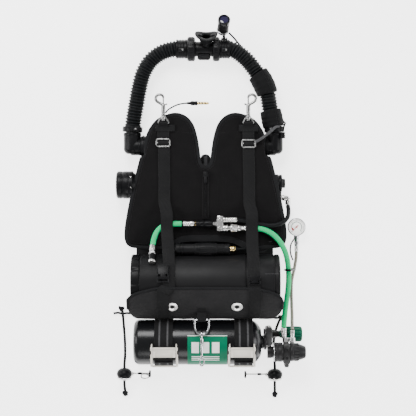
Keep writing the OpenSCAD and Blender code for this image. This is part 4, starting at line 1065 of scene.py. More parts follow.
bands, stripes, threads = [], [], []
for x in (-103, 94):
    hoop = np.array([(x, y, z) for y, z in arc(*TANK, 57.6, range(0, 360, 3))])
    bands.append(sweep(hoop, slab(46, 2.3, 0.9), up=outward(hoop, closed=True), closed=True))
    bands.append(patch(x - 23, x + 23, 64, 96, 60.2, 2.2))          # the doubled end under the buckle
    bands.append(patch(x - 22.5, x + 22.5, 136, 196, 60.2, 2.2))    # the free end beyond it
    for middle in (x - 10, x + 10):
        for a0, a1, r in ((140, 195, 61.4), (64, 95, 61.4), (196, 424, 58.8)):
            stripes.append(patch(middle - 2.2, middle + 2.2, a0, a1, r, 0.3))
    for y, z in arc(*TANK, 61.6, (139, 192, 93, 67)):
        row = np.array([(x + e, y, z) for e in range(-20, 21, 2)])
        threads += stitches(row, 4, 2.6, 0.4)
piece("cam_bands", bands, WEBBING, "vest", "cam_bands")
piece("band_stripes", stripes, GREY_WEB, "vest")
piece("band_stitches", threads, STITCH, "vest")

# ---------------------------------------------------------------- cylinder valve and regulator

piece("valve_body", [
    lathe([(118, 0), (118, 12), (146, 12), (146, 19), (147, 19.4), (151, 19), (152, 18), (152, 0)],
          (0, *TANK), X, 56, 0.6),
    box((150, -342, 17), (166, -297, 73.8), 3.5),
    lathe([(165, 0), (165, 11), (172, 11), (173, 10), (178, 10), (178, 8), (186, 8), (186, 4), (165, 4)],
          (0, *KNOB), X, 6, 0.5),
    lathe([(178, 4.2), (178, 8), (186, 8), (186, 4.2)], (0, *KNOB), X, 40, 0.4),
    box((152.5, -301, 52), (163.5, -294.6, 66), 2), box((146, -330, 20), (151, -304, 40), 2),
], ANTHRACITE, "vest", "valve_body")
piece("valve_ring", [
    lathe([(151.5, 12), (151.5, 14.5), (154, 14.5), (154, 12)], (0, *TANK), X, 48, 0.5),
    lathe([(0, 0), (0, 6), (3, 6), (3.4, 5), (5, 5), (5, 0)], (158, -297, 66), (0, 1, 0), 6, 0.4),
], STEEL, "vest")


def ribbed(s, t):
    """Twelve broad grips round the knob, softened at its ends."""
    ends = max(0, min(1.0, (s - 197.5) / 5, (245 - s) / 5))
    return 1 + 0.13 * (abs(math.sin(6 * t)) ** 0.7 - 0.45) * ends


piece("valve_knob", [
    lathe([(199, 0), (199, 14), (201, 17.2), (206, 18.3), (236, 18.3), (241, 17), (243, 14), (243, 10.5),
           (239.6, 9.4), (239.6, 0)], (0, *KNOB), X, 192, 1.2, lobes=ribbed),
    lathe([(186.4, 4.3), (186.4, 9.6), (190, 10), (194, 11.4), (199.6, 13), (199.6, 4.3)], (0, *KNOB), X,
          48, 0.5),
], GREEN_DARK, "knob", "valve_knob")
piece("knob_stem", [rod((168, *KNOB), (200, *KNOB), 4, 0.4),
                    lathe([(239.4, 0), (239.4, 6), (241, 5.4), (241.4, 3), (240.6, 2.6), (240.6, 0)],
                          (0, *KNOB), X, 6, 0.3)], STEEL, "knob", "valve_knob")

piece("first_stage", [
    lathe([(154, 5), (154, 15), (164, 15), (165, 14), (168.5, 14), (168.5, 5)], (0, *REG), X, 56, 0.6),
    lathe([(171.6, 4), (171.6, 23), (173, 24), (179, 24), (179.6, 23.2), (181.2, 23.2), (181.8, 24),
           (190, 24), (191.5, 23), (191.5, 19), (194, 19), (194, 4)], (0, *REG), X, 72, 0.6),
    box((193, -387.6, 43.4), (211, -337, 76.8), 4.5),
    lathe([(210, 0), (210, 22), (212, 23), (217, 23), (217.8, 22.2), (219, 22.2), (226, 21.6), (234, 19.8),
           (242, 17.4), (248, 15), (250, 12), (250, 6.5), (248.6, 6), (248.6, 0)], (0, *REG), X, 64, 1.0),
], ANTHRACITE, "vest", "first_stage")
piece("regulator_rim", [
    lathe([(168.5, 12), (168.5, 22.6), (169.4, 23.8), (171, 23.8), (171.8, 22.8), (171.8, 12)],
          (0, *REG), X, 72, 0.4),
], CHROME, "vest", "first_stage")
plugs = []
for z in (52, 68):
    plugs.append(lathe([(0, 3.2), (0, 5.5), (1, 5.9), (5.4, 5.9), (6.4, 5.2), (8.6, 5), (8.8, 3.1), (8.2, 3),
                        (4, 3), (4, 3.2)], (202, -387, z), (0, -1, 0), 6, 0.4))
    plugs.append(lathe([(0, 0), (0, 3), (3.6, 3), (3.6, 0)], (202, -389.5, z), (0, -1, 0), 24, 0.3))
for y in (-372, -352):
    plugs.append(lathe([(0, 0), (0, 5.2), (1.6, 5.2), (2.4, 4.4), (2.4, 2.4), (1, 2.2), (1, 0)],
                       (202, y, 76.2), Z, 6, 0.3))
piece("port_plugs", plugs, ANTHRACITE, "vest")
piece("regulator_ribs", [moved(box((221, -0.8, 20.6), (232, 0.8, 22.4), 0.4), at(0, *REG, 20 * k))
                         for k in range(18)], ANTHRACITE, "vest")


def crimp(n, r):
    """A crimped ferrule's profile, n long."""
    p = [(0, r * 0.7), (0, r * 0.93), (1, r)]
    for k in range(3):
        s = n * (0.22 + 0.2 * k)
        p += [(s - 0.9, r), (s, r * 0.9), (s + 0.9, r)]
    return p + [(n - 0.6, r), (n, r * 0.93), (n, r * 0.7)]


SHOULDER, TIP = (-130, -111, 111.6), (-130, -134, 129)        # of the left green hose's fitting
DOWN = (0, -1, 0)
fit = [
    # from, to, (along, radius) profile, sides, edge
    line_of(a, b, profile, sides, edge) for a, b, profile, sides, edge in (
        ((-130, -93.2, 96), (-130, -112, 112.5),
         [(0, 5), (0, 7.2), (1, 7.6), (13, 7.4), (16, 6), (18, 5.8), (18, 0), (0, 0)], 40, 0.4),
        ((-130, -105, 106.4), (-130, -112, 112.5),
         [(0, 0), (0, 7), (3, 7.6), (7, 7.6), (9, 7), (9, 0)], 6, 0.4),
        (SHOULDER, TIP, [(0, 0), (0, 7.8), (0.8, 8.6), (3, 8.6), (3.8, 7.6), (3.8, 0)], 48, 0.4),
        (SHOULDER, TIP, [(22, 0), (22, 8.2), (22.6, 9.2), (27, 9.2), (28, 8.6), (28, 0)], 48, 0.4),
        ((158, -347, 58.8), (158, -342.1, 58.8), [(0, 0), (0, 6), (4.9, 6), (4.9, 0)], 32, 0.4),
        ((195, -299, 59), (196, -322, 60), crimp(17, 7.6), 40, 0.4),
        ((195.6, -315.5, 59.8), (196, -322, 60), [(0, 0), (0, 6.4), (7, 6.4), (7, 0)], 32, 0.4),
        ((216.9, -305.6, 56.5), (216, -322, 60), crimp(13, 5.6), 40, 0.4),
        ((216.2, -317, 59.2), (216, -322, 60), [(0, 0), (0, 5), (6, 5), (6, 0)], 32, 0.4),
        ((183, 27.6, 35), (207, 24, 35), [(0, 0), (0, 7), (8, 7), (8.6, 6), (10, 6), (10.6, 7), (22, 7.2),
                                          (25, 6.6), (26, 5), (26, 0)], 40, 0.8),
    )
] + [
    # profile, from, direction, sides, edge
    lathe(*values) for values in (
        ([(0, 0), (0, 6.5), (1, 8), (11, 8.1), (12.5, 7.2), (15.2, 7), (15.2, 0)],
         (200, -322.1, 60), DOWN, 6, 0.5),
        ([(0, 0), (0, 5.8), (1, 7), (11, 7), (12, 6), (16, 6), (16, 0)], (216, -322.1, 60), DOWN, 6, 0.5),
        ([(0, 0), (0, 6), (3, 6.9), (8, 6.9), (8.4, 6), (9.4, 6), (9.8, 6.6), (16.6, 6.6), (17.6, 6),
          (17.6, 0)], (207, 26, 35), DOWN, 40, 0.5),
        ([(0, 0), (0, 5), (1, 5.6), (11.6, 5.6), (12.4, 5), (12.4, 0)], (230, -96.2, 15), DOWN, 6, 0.4),
        (crimp(8, 5.2), (230, -102.4, 15), DOWN, 32, 0.3),
        ([(0, 4), (0, 7.5), (4, 7.5), (4.5, 6.4), (6, 6.4)]
         + [(p + 6, q * 0.95) for p, q in crimp(28, 7.3)], (44.2, -29, 78), X, 40, 0.4),
        ([(0, 3), (0, 8.2), (1, 8.6), (6, 8.6), (6.5, 7.6), (8, 7.6)]
         + [(p + 8, q) for p, q in crimp(12, 7.8)], (80.2, -50, 78), X, 40, 0.4),
    )
]
piece("hose_fittings", fit, STEEL, "vest", "hose_fittings", sharp=30)
piece("left_crimp", [lathe([(0, 3)] + crimp(26, 7.6) + [(26, 3)], (-55.6, -39, 78), X, 40, 0.3),
                     lathe([(0, 0), (0, 6), (5, 6), (5, 0)], (-31, -39, 78), X, 32, 0.3)],
      STEEL, "vest", "hose_fittings")
piece("left_barrel", line_of(SHOULDER, TIP, [(3, 0), (3, 7.2), (4.6, 8), (20, 8), (22, 7.2), (22.4, 0)], 48,
                             0.5), PLASTIC, "vest")
piece("brass_bush", lathe([(0, 4), (0, 8.3), (3.6, 8.3), (3.6, 4)], (-27, -39, 78), X, 6, 0.4), GOLD, "vest")

piece("gas_block", [
    box((28, -57, 70), (44, -19, 86), 2.2),
    lathe([(18.2, 2.5), (18.2, 6), (22, 6), (22.4, 7.4), (28.2, 7.4), (28.2, 2.5)], (0, -39, 78), X, 6, 0.4),
    lathe([(43.8, 3), (43.8, 9), (48, 9), (48.6, 8), (50.4, 8), (51, 9), (55, 9), (55.4, 6.5), (80, 6.5),
           (80, 3)], (0, -50, 78), X, 48, 0.4),
    *[lathe([(0, 0), (0, 5), (1.4, 5), (2, 4.2), (2, 2.2), (0.9, 2), (0.9, 0)], (36, y, 86), Z, 6, 0.3)
      for y in (-29, -49)],
], STEEL, "vest", "gas_block")
piece("qd_sleeve", lathe([(62.4, 6.9), (62.4, 11), (63, 11.6), (67, 11.6), (68, 10.4), (69.6, 9.8), (78, 9.8),
                          (79.6, 9), (79.6, 6.9), (62.4, 6.9)], (0, -50, 78), X, 96, 0.5,
                         lobes=lambda s, t: 1 + (0.02 * math.cos(28 * t) if s > 69 else 0)),
      STEEL, "qd_sleeve", "qd_sleeve")
piece("inline_valve", [
    lathe([(-28.8, 2.5), (-28.8, 7), (-27.8, 7.5), (-15, 7.5), (-14, 8.4), (-13.2, 9), (-4, 9), (-3.2, 8.2),
           (-1.6, 8.2), (-0.8, 9), (16.8, 9), (18, 8), (18, 2.5)], (0, -39, 78), X, 56, 0.5,
          lobes=lambda s, t: 1 + (0.018 * math.cos(20 * t) if s > 0 else 0)),
], PLASTIC, "vest", "inline_valve")

# ---------------------------------------------------------------- gauge and electronics

G = (230, -48)            # the gauge's middle in X and Y
piece("gauge_case", [
    lathe([(1, 0), (1, 19), (2.4, 21.6), (6, 22.6), (18, 23), (24, 23), (26, 22.2), (27, 20.8), (26.4, 20.4),
           (20, 20.4), (20, 0)], (*G, 0), Z, 96, 0.7),
    lathe([(0, 5), (0, 7), (7.6, 7), (8, 5.4), (25.6, 5.4), (26, 4.6), (26, 0), (0, 0)], (230, -70, 15),
          (0, -1, 0), 40, 0.6),
    lathe([(0, 4), (0, 6.2), (8, 6.2), (8, 4)], (230, -84, 15), (0, -1, 0), 6, 0.4),
], CHROME, "gauge", "gauge_case")
piece("gauge_face", lathe([(0, 0), (0, 20), (0.3, 20.3), (0.5, 20), (0.5, 0)], (*G, 20), Z, 64, 0), DIAL_GLOW,
      "gauge")
ticks = []
for k in range(31):
    inner_r, half_w = (14.6, 0.45) if k % 5 == 0 else (16.4, 0.25)
    bar = box((inner_r, -half_w, 20.5), (18.6, half_w, 20.8), 0.08)
    ticks.append(moved(bar, at(*G, 0, 225 - 9 * k, "Z")))
piece("gauge_ticks", ticks, PLASTIC, "gauge")


def arc_bar(r0, r1, a0, a1, z):
    """A printed arc on the gauge's face, between two radii and two angles."""
    return plate(arc(*G, r1, np.linspace(a0, a1, 14)) + arc(*G, r0, np.linspace(a1, a0, 14)), z, z + 0.25, 0)


piece("gauge_sector", arc_bar(9, 13.6, 190, 232, 20.5), RED, "gauge")
piece("gauge_arc", arc_bar(12, 13.6, -45, 190, 20.5), GREEN_DARK, "gauge")
piece("gauge_glass", lathe([(0, 0), (0, 20.5), (1.2, 20.5), (1.6, 19), (1.9, 0)], (*G, 24.2), Z, 64, 0),
      GLASS, "gauge")
needle = plate([(-6, -1.5), (-3, -1.1), (15.5, -0.35), (16, 0), (15.5, 0.35), (-3, 1.1), (-6, 1.5)], 0, 0.8,
               0.15)
piece("gauge_needle", [
    moved(needle, at(*G, 21.3, 225, "Z")),
    lathe([(20.7, 0), (20.7, 2.4), (22.2, 2.4), (22.8, 1.6), (22.8, 0)], (*G, 0), Z, 32, 0.3),
], RED, "needle", "gauge_needle")

piece("module", [
    lathe([(-76, 0), (-76, 9), (-73, 12.4), (-70, 13), (-27, 13), (-26, 14.6), (28, 14.6), (29, 13), (45, 13),
           (45.6, 12.2), (48, 12.2), (48.6, 13), (59, 13), (61, 11), (61, 0)], (0, *POD), X, 64, 0.7),
], SATIN, "vest", "module")
piece("module_bands", [
    *[lathe([(s, 12), (s, 15), (s + 2.6, 15), (s + 2.6, 12)], (0, *POD), X, 64, 0.5)
      for s in (-66, -58, -22, -16, 18, 24)],
    *[moved(box((-14, -0.7, 14), (16, 0.7, 15.3), 0.4), at(0, *POD, 20 * k)) for k in range(18)],
], PLASTIC, "vest", "module")
piece("module_contacts", [
    lathe([(61, 0), (61, 8), (64, 8), (64.6, 7), (67, 7), (67.6, 8), (71, 8), (71.6, 6.4), (74, 6), (74, 0)],
          (0, *POD), X, 48, 0.3),
], GOLD, "vest", "module")
piece("module_tail", lathe([(73.6, 0), (73.6, 5), (78, 4.4), (82, 3.2), (98.4, 2.8), (99, 2), (99, 0)],
                           (0, *POD), X, 32, 0.4), RUBBER, "vest", "module")

# ---------------------------------------------------------------- beads on the bungees

BEAD_Z = 18.5
for side, x, y, s, reach in (("left", -205, -419, 1, 62), ("right", 175, -421, -1, 72)):
    body = f"stow_{side}"
    level = (s, 0, 0)
    dome = [(15.5 * math.sin(math.radians(a)), 19.5 * math.cos(math.radians(a))) for a in range(-36, 67, 6)]
    piece(body, [
        lathe([(-10, 3.6), *dome, (14.6, 3.6), (-10, 3.6)], (x, y, BEAD_Z), Y, 64, 0.3),
        lathe([(0, 3.4), (0, 5.6), (1, 6), (2, 5.6), (2, 3.4)], (x, y + 12.4, BEAD_Z), Y, 40, 0.3),
    ], PLASTIC, body, body)
    clip = [
        lathe([(-16.4, 3.6), (-16.4, 8), (-15.4, 12), (-12.6, 16), (-9.4, 18.6), (-8.6, 18.4), (-8.8, 3.6),
               (-16.4, 3.6)], (x, y, BEAD_Z), Y, 64, 0.4),
        lathe([(0, 0), (0, 5), (5, 5), (6, 4.4), (9, 4.4), (9, 0)], (x + s * 15, y, BEAD_Z), level, 40, 0.6),
        rod((x + s * 20, y - 4, BEAD_Z), (x + s * 20, y + 4, BEAD_Z), 3.6, 0.8),
        lathe([(0, 0), (0, 2), (reach - 26, 1.7), (reach - 25, 2.6), (reach - 22, 2.6), (reach - 22, 0)],
              (x + s * 23, y + 1, BEAD_Z), level, 28, 0.4),
    ]
    if side == "left":                       # an oval ring plate at the clip's end
        oval_ring = [(x + dx, y + dy, BEAD_Z) for dx, dy in (
            (43, -2), (52, -1), (60, -3), (61, -9), (52, -12), (43, -9), (43, -2))]
        clip.append(sweep(smooth(oval_ring, 8)[:-1], circle(1.6, 12), closed=True))
    piece(f"stow_rim_{side}", clip, STEEL, body)
    piece(f"stow_grip_{side}", lathe([(0, 0), (0, 2.2), (1, 3), (9, 3), (10, 2.2), (10, 0)],
                                     (x + s * 34, y + 1, BEAD_Z), level, 32, 0.4), PLASTIC, body)
    piece(f"stow_foot_{side}", lathe([(0, 0), (0, 7.6), (1.2, 9), (3.8, 9), (5, 7.6), (5, 0)],
                                     (x + s * reach, y, BEAD_Z), level, 48, 0.6), PLASTIC, body)
for side, path in (
    ("left", [(-234, -268, 3.2), (-222, -266, 5), (-211, -268, 7.6), (-196, -267, 4.6), (-168, -272, 3.4)]),
    ("right", [(163, -275, 9), (178, -279, 8.6), (192, -277, 9), (207, -278, 8)]),
):
    piece(f"tie_{side}", sweep(spaced(smooth(path, 8), 1.5), slab(5.5, 1.3, 0.5)), ELASTIC, "vest")

# ---------------------------------------------------------------- bolt snaps

HOOK = [(1.0, 255.5), (7, 259), (14, 263), (18.4, 268), (18.6, 274), (15, 279.4), (9, 281.2), (3.2, 279.6),
        (0.2, 275.6), (-0.4, 272)]
for side, x, s in (("left", -104.5, -1), ("right", 106, 1)):
    hook = spaced(smooth([(x + s * a, b, 75) for a, b in HOOK], 8), 1.0)
    thin = np.interp(np.linspace(0, 1, len(hook)), [0, 0.12, 0.75, 0.95, 1], [1.25, 1.0, 1.0, 0.82, 0.6])
    piece(f"snap_{side}", [
        lathe([(219, 0), (219, 3), (229.4, 3), (229.4, 4.2), (230.4, 5.2), (233, 5.2), (233.8, 4.3),
               (236, 4.3), (237, 5), (254, 5), (257, 4.2), (259, 2.4), (259, 0)], (x, 0, 75), Y, 40, 0.4),
        lathe([(216.4, 0), (216.4, 3.6), (217.4, 4.6), (219.6, 4.6), (220.4, 3), (220.4, 0)], (x, 0, 75), Y,
              32, 0.4),
        sweep(hook, circle(3.4, 16), thin),
    ], PEWTER, f"snap_{side}", f"snap_{side}")
    piece(f"gate_{side}", [
        rod((x, 254, 75), (x, 275.6, 75), 1.9, 0.6, 24),
        lathe([(0, 0), (0, 1.2), (5.8, 1.2), (6.4, 2.4), (9.2, 2.5), (9.8, 1.8), (9.8, 0)], (x, 257.2, 75),
              (-s, 0, 0), 24, 0.4),
    ], PEWTER, f"gate_{side}", f"gate_{side}")

# ---------------------------------------------------------------- breathing loop

routes = {
    "left": [(-184, 193), (-181, 222), (-174, 262), (-167, 300), (-157, 338), (-138, 370), (-110, 391),
             (-78, 400), (-48, 400)],
    "right": [(173, 193), (168, 222), (161, 258), (155, 290), (141, 322), (122, 350), (98, 378), (66, 399),
              (38, 400)],
}
CORRUGATION = 7.5
hose_path = {}
for side, points in routes.items():
    path = spaced(smooth([(x, y, LOOP_Z) for x, y in points], 16), 0.9)
    s = lengths(path)
    crest = (0.5 + 0.5 * np.cos(2 * np.pi * s / CORRUGATION)) ** 0.75
    ends = np.clip(np.minimum(s - 13, s[-1] - 22 - s) / 3, 0, 1)
    radius = 17.3 + 3.8 * (ends * crest + (1 - ends) * 0.65)
    hose_path[side] = path
    outer_hose = sweep(path, circle(1, 40), radius, cap=False)
    bore = sweep(path[::-1], circle(1, 40), np.full(len(path), 16.4), cap=False)
    rims = [line_of(a, b, [(0, 16.4), (-0.2, 17.4), (0, 19.7), (1.2, 19.9), (1.2, 16.4)], 40, 0.2)
            for a, b in ((path[0], path[1]), (path[-1], path[-2]))]
    piece(f"hose_{side}", [outer_hose, bore, *rims], RUBBER, "loop", f"hose_{side}", sharp=70)

SLEEVE_R, SLEEVE_T = 25.2, 2.6       # at the sleeves' ends
sleeve_shapes, sleeve_threads = [], []
for y0, y1, bulge in ((204, 246, 1.0), (287, 338, 1.4)):
    path = hose_path["right"]
    part = spaced(path[(path[:, 1] >= y0) & (path[:, 1] <= y1) & (path[:, 0] > 60)], 1.5)
    u = np.linspace(0, 1, len(part))
    roll = 26.4 + bulge * np.sin(np.pi * u) + 0.5 * np.sin(2 * np.pi * u * 3.5) * np.sin(np.pi * u)
    roll[0], roll[-1] = roll[0] - 1.2, roll[-1] - 1.2
    sleeve_shapes.append(sweep(part, circle(1, 48), roll, cap=False))
    sleeve_shapes.append(sweep(part[::-1], circle(1, 48), roll[::-1] - SLEEVE_T, cap=False))
    lip = [(0, SLEEVE_R - SLEEVE_T), (-0.9, SLEEVE_R - 1.4), (0, SLEEVE_R + 0.1), (0.6, SLEEVE_R - 1.3)]
    for a, b in ((part[0], part[1]), (part[-1], part[-2])):
        sleeve_shapes.append(line_of(a, b, lip, 48, 0.3))
    across = unit(np.cross(tangents(part), Z))
    ridge = part + across * (roll * 0.35)[:, None] + np.array((0, 0, 1.0)) * (roll * 0.94)[:, None]
    sleeve_shapes.append(sweep(ridge, slab(9, 1.3, 0.5)))
    sleeve_threads += stitches(ridge + (0, 0, 0.8), 4.6, 3, 0.4)
sleeves = piece("sleeves", sleeve_shapes, NEOPRENE, "loop", "sleeves", sharp=60)
piece("sleeve_stitches", sleeve_threads, STITCH, "loop")

BOLT = [(0, 0), (0, 2.4), (1.4, 2.4), (1.8, 1.8), (1.8, 0)]
elbows, clamps, bolts = [], [], []
for x, s in ((-184, -1), (173, 1)):
    # An upright drum that a level drum runs into, with the hose's spigot above
    inner_x = x - s * 22
    lean = -s * 0.6 / 12.8
    elbows += [
        lathe([(0, 0), (0, 13), (4, 18.6), (10, 21.6), (53, 21.6), (53, 0)], (x, 136, LOOP_Z), Y, 56, 1.2),
        lathe([(0, 0), (0, 20.6), (1, 21.4), (24, 21.4), (28, 18), (28, 0)], (inner_x, *PORT), (s, 0, 0), 56,
              1.2),
        rod((inner_x, *PORT), (inner_x + s * 6, *PORT), 22, 1.0, 56),
        lathe([(0, 16), (0, 22), (2, 22.4), (6, 22.4), (7, 21.4), (8, 21.4), (8, 16)], (x, 181, LOOP_Z), Y,
              56, 0.6),
        lathe([(0, 15), (0, 16.6), (7.4, 16.6), (8, 15.8), (8, 15), (0, 15)], (x, 188, LOOP_Z), Y, 48, 0.3),
    ]
    clamps.append(lathe([(0, 23.4), (0, 24.4), (0.8, 25), (12, 25), (12.8, 24.4), (12.8, 23.4), (0, 23.4)],
                        (x, 191.2, LOOP_Z), (lean, 1, 0), 64, 0.3))
    for off in (3, 6.4, 9.8):
        clamps.append(torus((x + lean * off, 191.2 + off, LOOP_Z), (lean, 1, 0), 24.9, 0.6, 64, 8))
    clamps.append(moved(box((-7, 0, 0), (7, 10, 4.4), 1.4), at(x - s * 9, 192.6, LOOP_Z + 21.6, s * 22, "Y")))
    bolts.append(lathe(BOLT, (x - s * 10, 197.6, LOOP_Z + 26), Z, 6, 0.2))
elbows.append(lathe([(0, 0), (0, 6.4), (9, 6.4), (9.6, 5.4), (10.8, 5.4), (11.2, 6.4), (15, 6.2), (15.6, 5),
                     (15.6, 0)], (193, 174, 51), Y, 40, 0.5))
piece("elbows", elbows, PLASTIC, "loop", "elbows", sharp=45)
CUFF_R = 24
for a, b in ((-74, -46.2), (36.2, 61)):
    n = b - a
    cuff = [(0, CUFF_R - 1.6), (0, CUFF_R - 0.6), (1, CUFF_R)]
    for c in (0.25 * n, 0.49 * n, 0.73 * n):
        cuff += [(c - 2, CUFF_R), (c - 1.2, CUFF_R - 1.1), (c + 1.2, CUFF_R - 1.1), (c + 2, CUFF_R)]
    cuff += [(n - 1, CUFF_R), (n, CUFF_R - 0.6), (n, CUFF_R - 1.6), (0, CUFF_R - 1.6)]
    clamps.append(lathe(cuff, (a, *MOUTH_AXIS), X, 64, 0.3))
    clamps.append(moved(box((-8, -4, 0), (8, 4, 3.6), 1.4), at((a + b) / 2, 395, LOOP_Z + 22.6)))
    bolts.append(lathe(BOLT, ((a + b) / 2 + 3, 395, LOOP_Z + 26), Z, 6, 0.2))
# The two ears that the display tilts between
ear = [(-4.4, 23.4), (4.4, 23.4), (4.4, 28.5), *arc(0, 28.5, 4.4, range(20, 180, 20)), (-4.4, 28.5)]
upright = Matrix(((0, 0, 1, 0), (0, 1, 0, 0), (-1, 0, 0, 0), (0, 0, 0, 1)))
clamps += [moved(plate(ear, 0, 3, 0.5), at(x, *MOUTH_AXIS, 38) @ upright) for x in (39.5, 51.5)]
piece("hose_clamps", clamps, PLASTIC, "loop", "hose_clamps")
piece("clamp_bolts", bolts, PEWTER, "loop", "hose_clamps")

MOUTH = at(2, *MOUTH_AXIS, -45)       # the mouthpiece's frame, whose Z leans up and out
piece("dsv_body", [
    tube((-44, *MOUTH_AXIS), (34, *MOUTH_AXIS), 18.5, 16.5, 0.4, 64),
    moved(lathe([(14, 10.5), (14, 14.6), (19, 16), (21, 16), (21.6, 14), (31, 14), (31, 10.5), (14, 10.5)],
                (0, 0, 0), Z, 48, 0.4), MOUTH),
    *[lathe([(a, 18.3), (a, 19.6), (a + 1.6, 19.6), (a + 1.6, 18.3)], (0, *MOUTH_AXIS), X, 64, 0.3)
      for a in (-25.6, 15.8)],
], PLASTIC, "loop", "dsv_body", sharp=30)

nuts = []
for x0, x1 in ((-46, -26), (18, 36)):
    n = x1 - x0
    nuts.append(lathe([(0, 18.6), (0, 27), (2, 29.6), (3, 30.5), (n - 3, 30.5), (n - 2, 29.6), (n, 27),
                       (n, 18.6), (0, 18.6)], (x0, *MOUTH_AXIS), X, 12, 0.5))
    grip = box((3.4, -2.2, 28.4), (n - 3.4, 2.2, 30.6), 0.8)
    nuts += [moved(grip, at(x0, *MOUTH_AXIS, 30 * k + 15)) for k in range(12)]
piece("dsv_nuts", nuts, PLASTIC, "loop", "dsv_nuts", sharp=25)

# The shut-off barrel inside, its stem and the paddle outside
rim = [(-4, y, z) for y, z in arc(*MOUTH_AXIS, 23.2, np.arange(137, 188, 2.5))]
width = [(0.82 + 0.18 * math.sin(math.pi * i / (len(rim) - 1)), 1) for i in range(len(rim))]
paddle = [sweep(rim, slab(33, 7.4, 2.4, 4), width, up=outward(rim))]
for y, z in arc(*MOUTH_AXIS, 26.9, range(143, 184, 7)):
    paddle.append(rod((-16.5, y, z), (8.5, y, z), 1.1, 0.5, 14))
paddle.append(moved(box((-8.4, -2.3, 15.6), (0.4, 2.3, 20), 0.8), at(0, *MOUTH_AXIS, 157 - 90)))
piece("shutoff", [*paddle, tube((-26, *MOUTH_AXIS), (18, *MOUTH_AXIS), 16.4, 13.5, 0.4, 48)], SATIN,
      "shutoff", "shutoff")

NECK_SIDES = 56


def oval(w, h):
    """A stadium's outline."""
    r = h / 2
    out = []
    for a in np.arange(NECK_SIDES) * 2 * math.pi / NECK_SIDES:
        out.append((math.copysign(max(w / 2 - r, 0), math.cos(a)) * min(1, abs(math.cos(a)) * 2.2)
                    + r * math.cos(a), r * math.sin(a)))
    return np.array(out)


def closed_loft(rings):
    """Joins rings of (width, height, level), the last one to the first. A ring with no height is round."""
    n, count = NECK_SIDES, len(rings)
    pts = [(x, y, z) for w, h, z in rings for x, y in (oval(w, h) if h else circle(w / 2, n))]
    faces = []
    for i in range(count):
        a, b = i * n, (i + 1) % count * n
        faces += [(a + j, a + (j + 1) % n, b + (j + 1) % n, b + j) for j in range(n)]
    return np.array(pts), faces


def saddle(shape):
    """Draws the flange down towards the neck and lifts its two ends."""
    pts, faces = shape
    k = np.clip((pts[:, 2] - 33) / 10, 0, 1)
    return pts + np.stack([0 * k, 0 * k, k * (9 * (pts[:, 0] / 28) ** 2 - 8)], axis=1), faces


# A round neck that opens into an oval flange with bite tabs, then back down the inside
bite = closed_loft([
    (28.4, 0, 25.5), (31.2, 0, 25.6), (31.6, 0, 27), (30.4, 0, 31), (30.4, 0, 34), (33, 28.5, 37.5),
    (38, 28, 40.5), (40, 28, 43.2), (46, 31, 44.8), (55, 36, 45.6), (57, 37, 46.4), (57, 37, 47.2),
    (55, 35.4, 48), (44, 28, 47.7), (27, 20.5, 48), (23.6, 17.4, 47), (23, 17, 44), (23, 17, 38.5),
    (21.2, 0, 36), (21.2, 0, 32), (28.4, 0, 31.2)])
tabs = [box((x - 4.5, -3, 47), (x + 4.5, 3, 50.2), 1.4) for x in (-15, 15)]
tie = torus((0, 0, 29.4), Z, 15.9, 1.2, 56, 8, 0.6)
piece("mouthpiece", [moved(saddle(s), MOUTH) for s in (bite, *tabs)], SILICONE, "loop", "mouthpiece",
      sharp=60)
piece("mouthpiece_tie", [moved(tie, MOUTH), moved(box((13.5, -2.4, 27.6), (18, 2.4, 31.2), 0.9), MOUTH)],
      PLASTIC, "loop")

# ---------------------------------------------------------------- head-up display

pivot = on_circle(*MOUTH_AXIS, 28.5, 38)
lo, hi = np.array((43, 444, 50.0)), np.array((46, 464, 90.0))
n = span(lo, hi)
piece("hud", [
    line_of(lo, hi, [(0, 0), (0, 12.8), (1, 14), (n - 16, 14), (n - 15, 13.1), (n - 12.6, 13.1),
                     (n - 11.6, 14.2), (n, 14.2), (n, 0)], 56, 0.6,
            lobes=lambda s, t: 1 + (0.014 * math.cos(24 * t) if 5 < s < n - 18 else 0)),
    rod((39, *pivot), (55, *pivot), 2, 0.3), rod((47, *pivot), (44, 442, 53), 3.4, 0.4),
    box((43.6, pivot[0] - 4, pivot[1] - 4), (50.4, pivot[0] + 4, pivot[1] + 4), 1.4),
], SATIN, "hud", "hud")
piece("hud_collars", [
    line_of((42.8, 442.8, 47.6), (43.4, 446.6, 55.2), [(0, 0), (0, 13.6), (1.2, 14.8), (3.4, 14.8), (4, 13.9),
                                                       (5, 13.9), (5.6, 14.8), (8, 14.8), (8.4, 13.6),
                                                       (8.4, 0)], 56, 0.4),
], CHROME, "hud")
piece("hud_bezel", line_of(hi, (46.2, 465.3, 92.6), [(-9, 12), (-9, 14.3), (-8, 15.2), (2, 15.2), (3.2, 14),
                                                     (3.2, 11.4), (1.2, 11), (-9, 11)], 56, 0.5),
      GLOSS, "hud")
d = unit(hi - lo)
piece("hud_lens", line_of(hi - 2 * d, hi + 3 * d, [(0, 0), (0, 11), (2.6, 11), (3.4, 9.4), (3.9, 6),
                                                   (4.2, 0)], 48, 0), LENS, "hud")

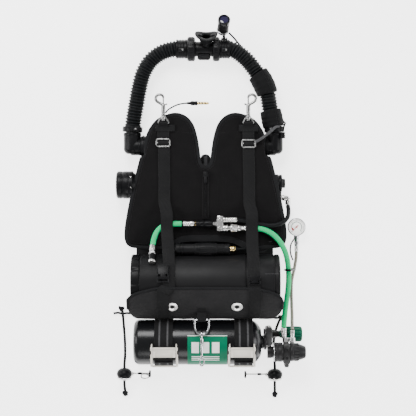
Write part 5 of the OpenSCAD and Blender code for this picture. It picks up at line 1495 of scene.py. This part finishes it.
# Grey elastic from the right-hand strap's slide to the elbow
elastic = [(124, 164, 71), (138, 172, 72), (154, 184, 68), (167, 195, 61), (175, 202, 56.8), (184, 204, 52.5)]
elastic = spaced(smooth(elastic, 10), 1.5)
swell = [1 + 0.05 * math.cos(2.6 * i) for i in range(len(elastic))]
keeper = piece("keeper_cord", sweep(elastic, circle(3.5, 16), swell), GREY_WEB, None)
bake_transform(keeper)

# Drawcords in the hem, the tie of the two hoses at the right and the gauge's twisted lanyard
for side, path in (("left", [(-177, -67, 55), (-170, -78, 55), (-158, -89, 57), (-146, -99, 60)]),
                   ("right", [(161, -80, 57), (158, -93, 56), (151, -105, 56), (134, -112, 60)])):
    piece(f"hem_cord_{side}", sweep(spaced(smooth(path, 8), 1.5), circle(1.3, 10)), ELASTIC, "vest")
piece("hem_eyelets", [torus((-177, -67, 61.4), (0.2, 0.2, 1), 4, 1.3, 32, 10, 0.7),
                      torus((161, -80, 62.2), (-0.1, 0.2, 1), 4, 1.3, 32, 10, 0.7)], ANTHRACITE, "vest")
tie_path = smooth([(197.6, -155, 40), (200, -155, 58), (210, -155, 66), (219, -155, 44), (227, -155, 20),
                   (228, -155, 6), (221, -155, 1.6), (211, -155, 12), (201, -155, 34)], 8)
piece("cable_tie", [sweep(spaced(tie_path, 2), slab(1.4, 4.6, 0.5), up=Y),
                    box((205, -158, 62), (212, -152, 67), 1)], PLASTIC, "vest")
run = smooth([(224, -78, 15), (216, -92, 20), (214, -108, 22), (217, -122, 18), (222, -132, 8)], 15)
along = np.linspace(0, 1, 60)
run = np.stack([np.interp(along, np.linspace(0, 1, len(run)), run[:, j]) for j in range(3)], axis=1)
for k in (0, 1):
    twist = 2 * math.pi * 7 * along + math.pi * k
    strand = run + 1.1 * np.stack([np.cos(twist), 0 * twist, np.sin(twist)], axis=1)
    piece(f"lanyard_{k}", sweep(strand, circle(1.15, 10)), ELASTIC, "vest")

# ---------------------------------------------------------------- pieces kept from the CAD frame

for node, mat in (("counterlungs", SILICONE), ("scrubber", SORBENT), ("one_way_valves", SILICONE)):
    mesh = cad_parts[node].data
    mesh.materials.clear()
    mesh.materials.append(mat)
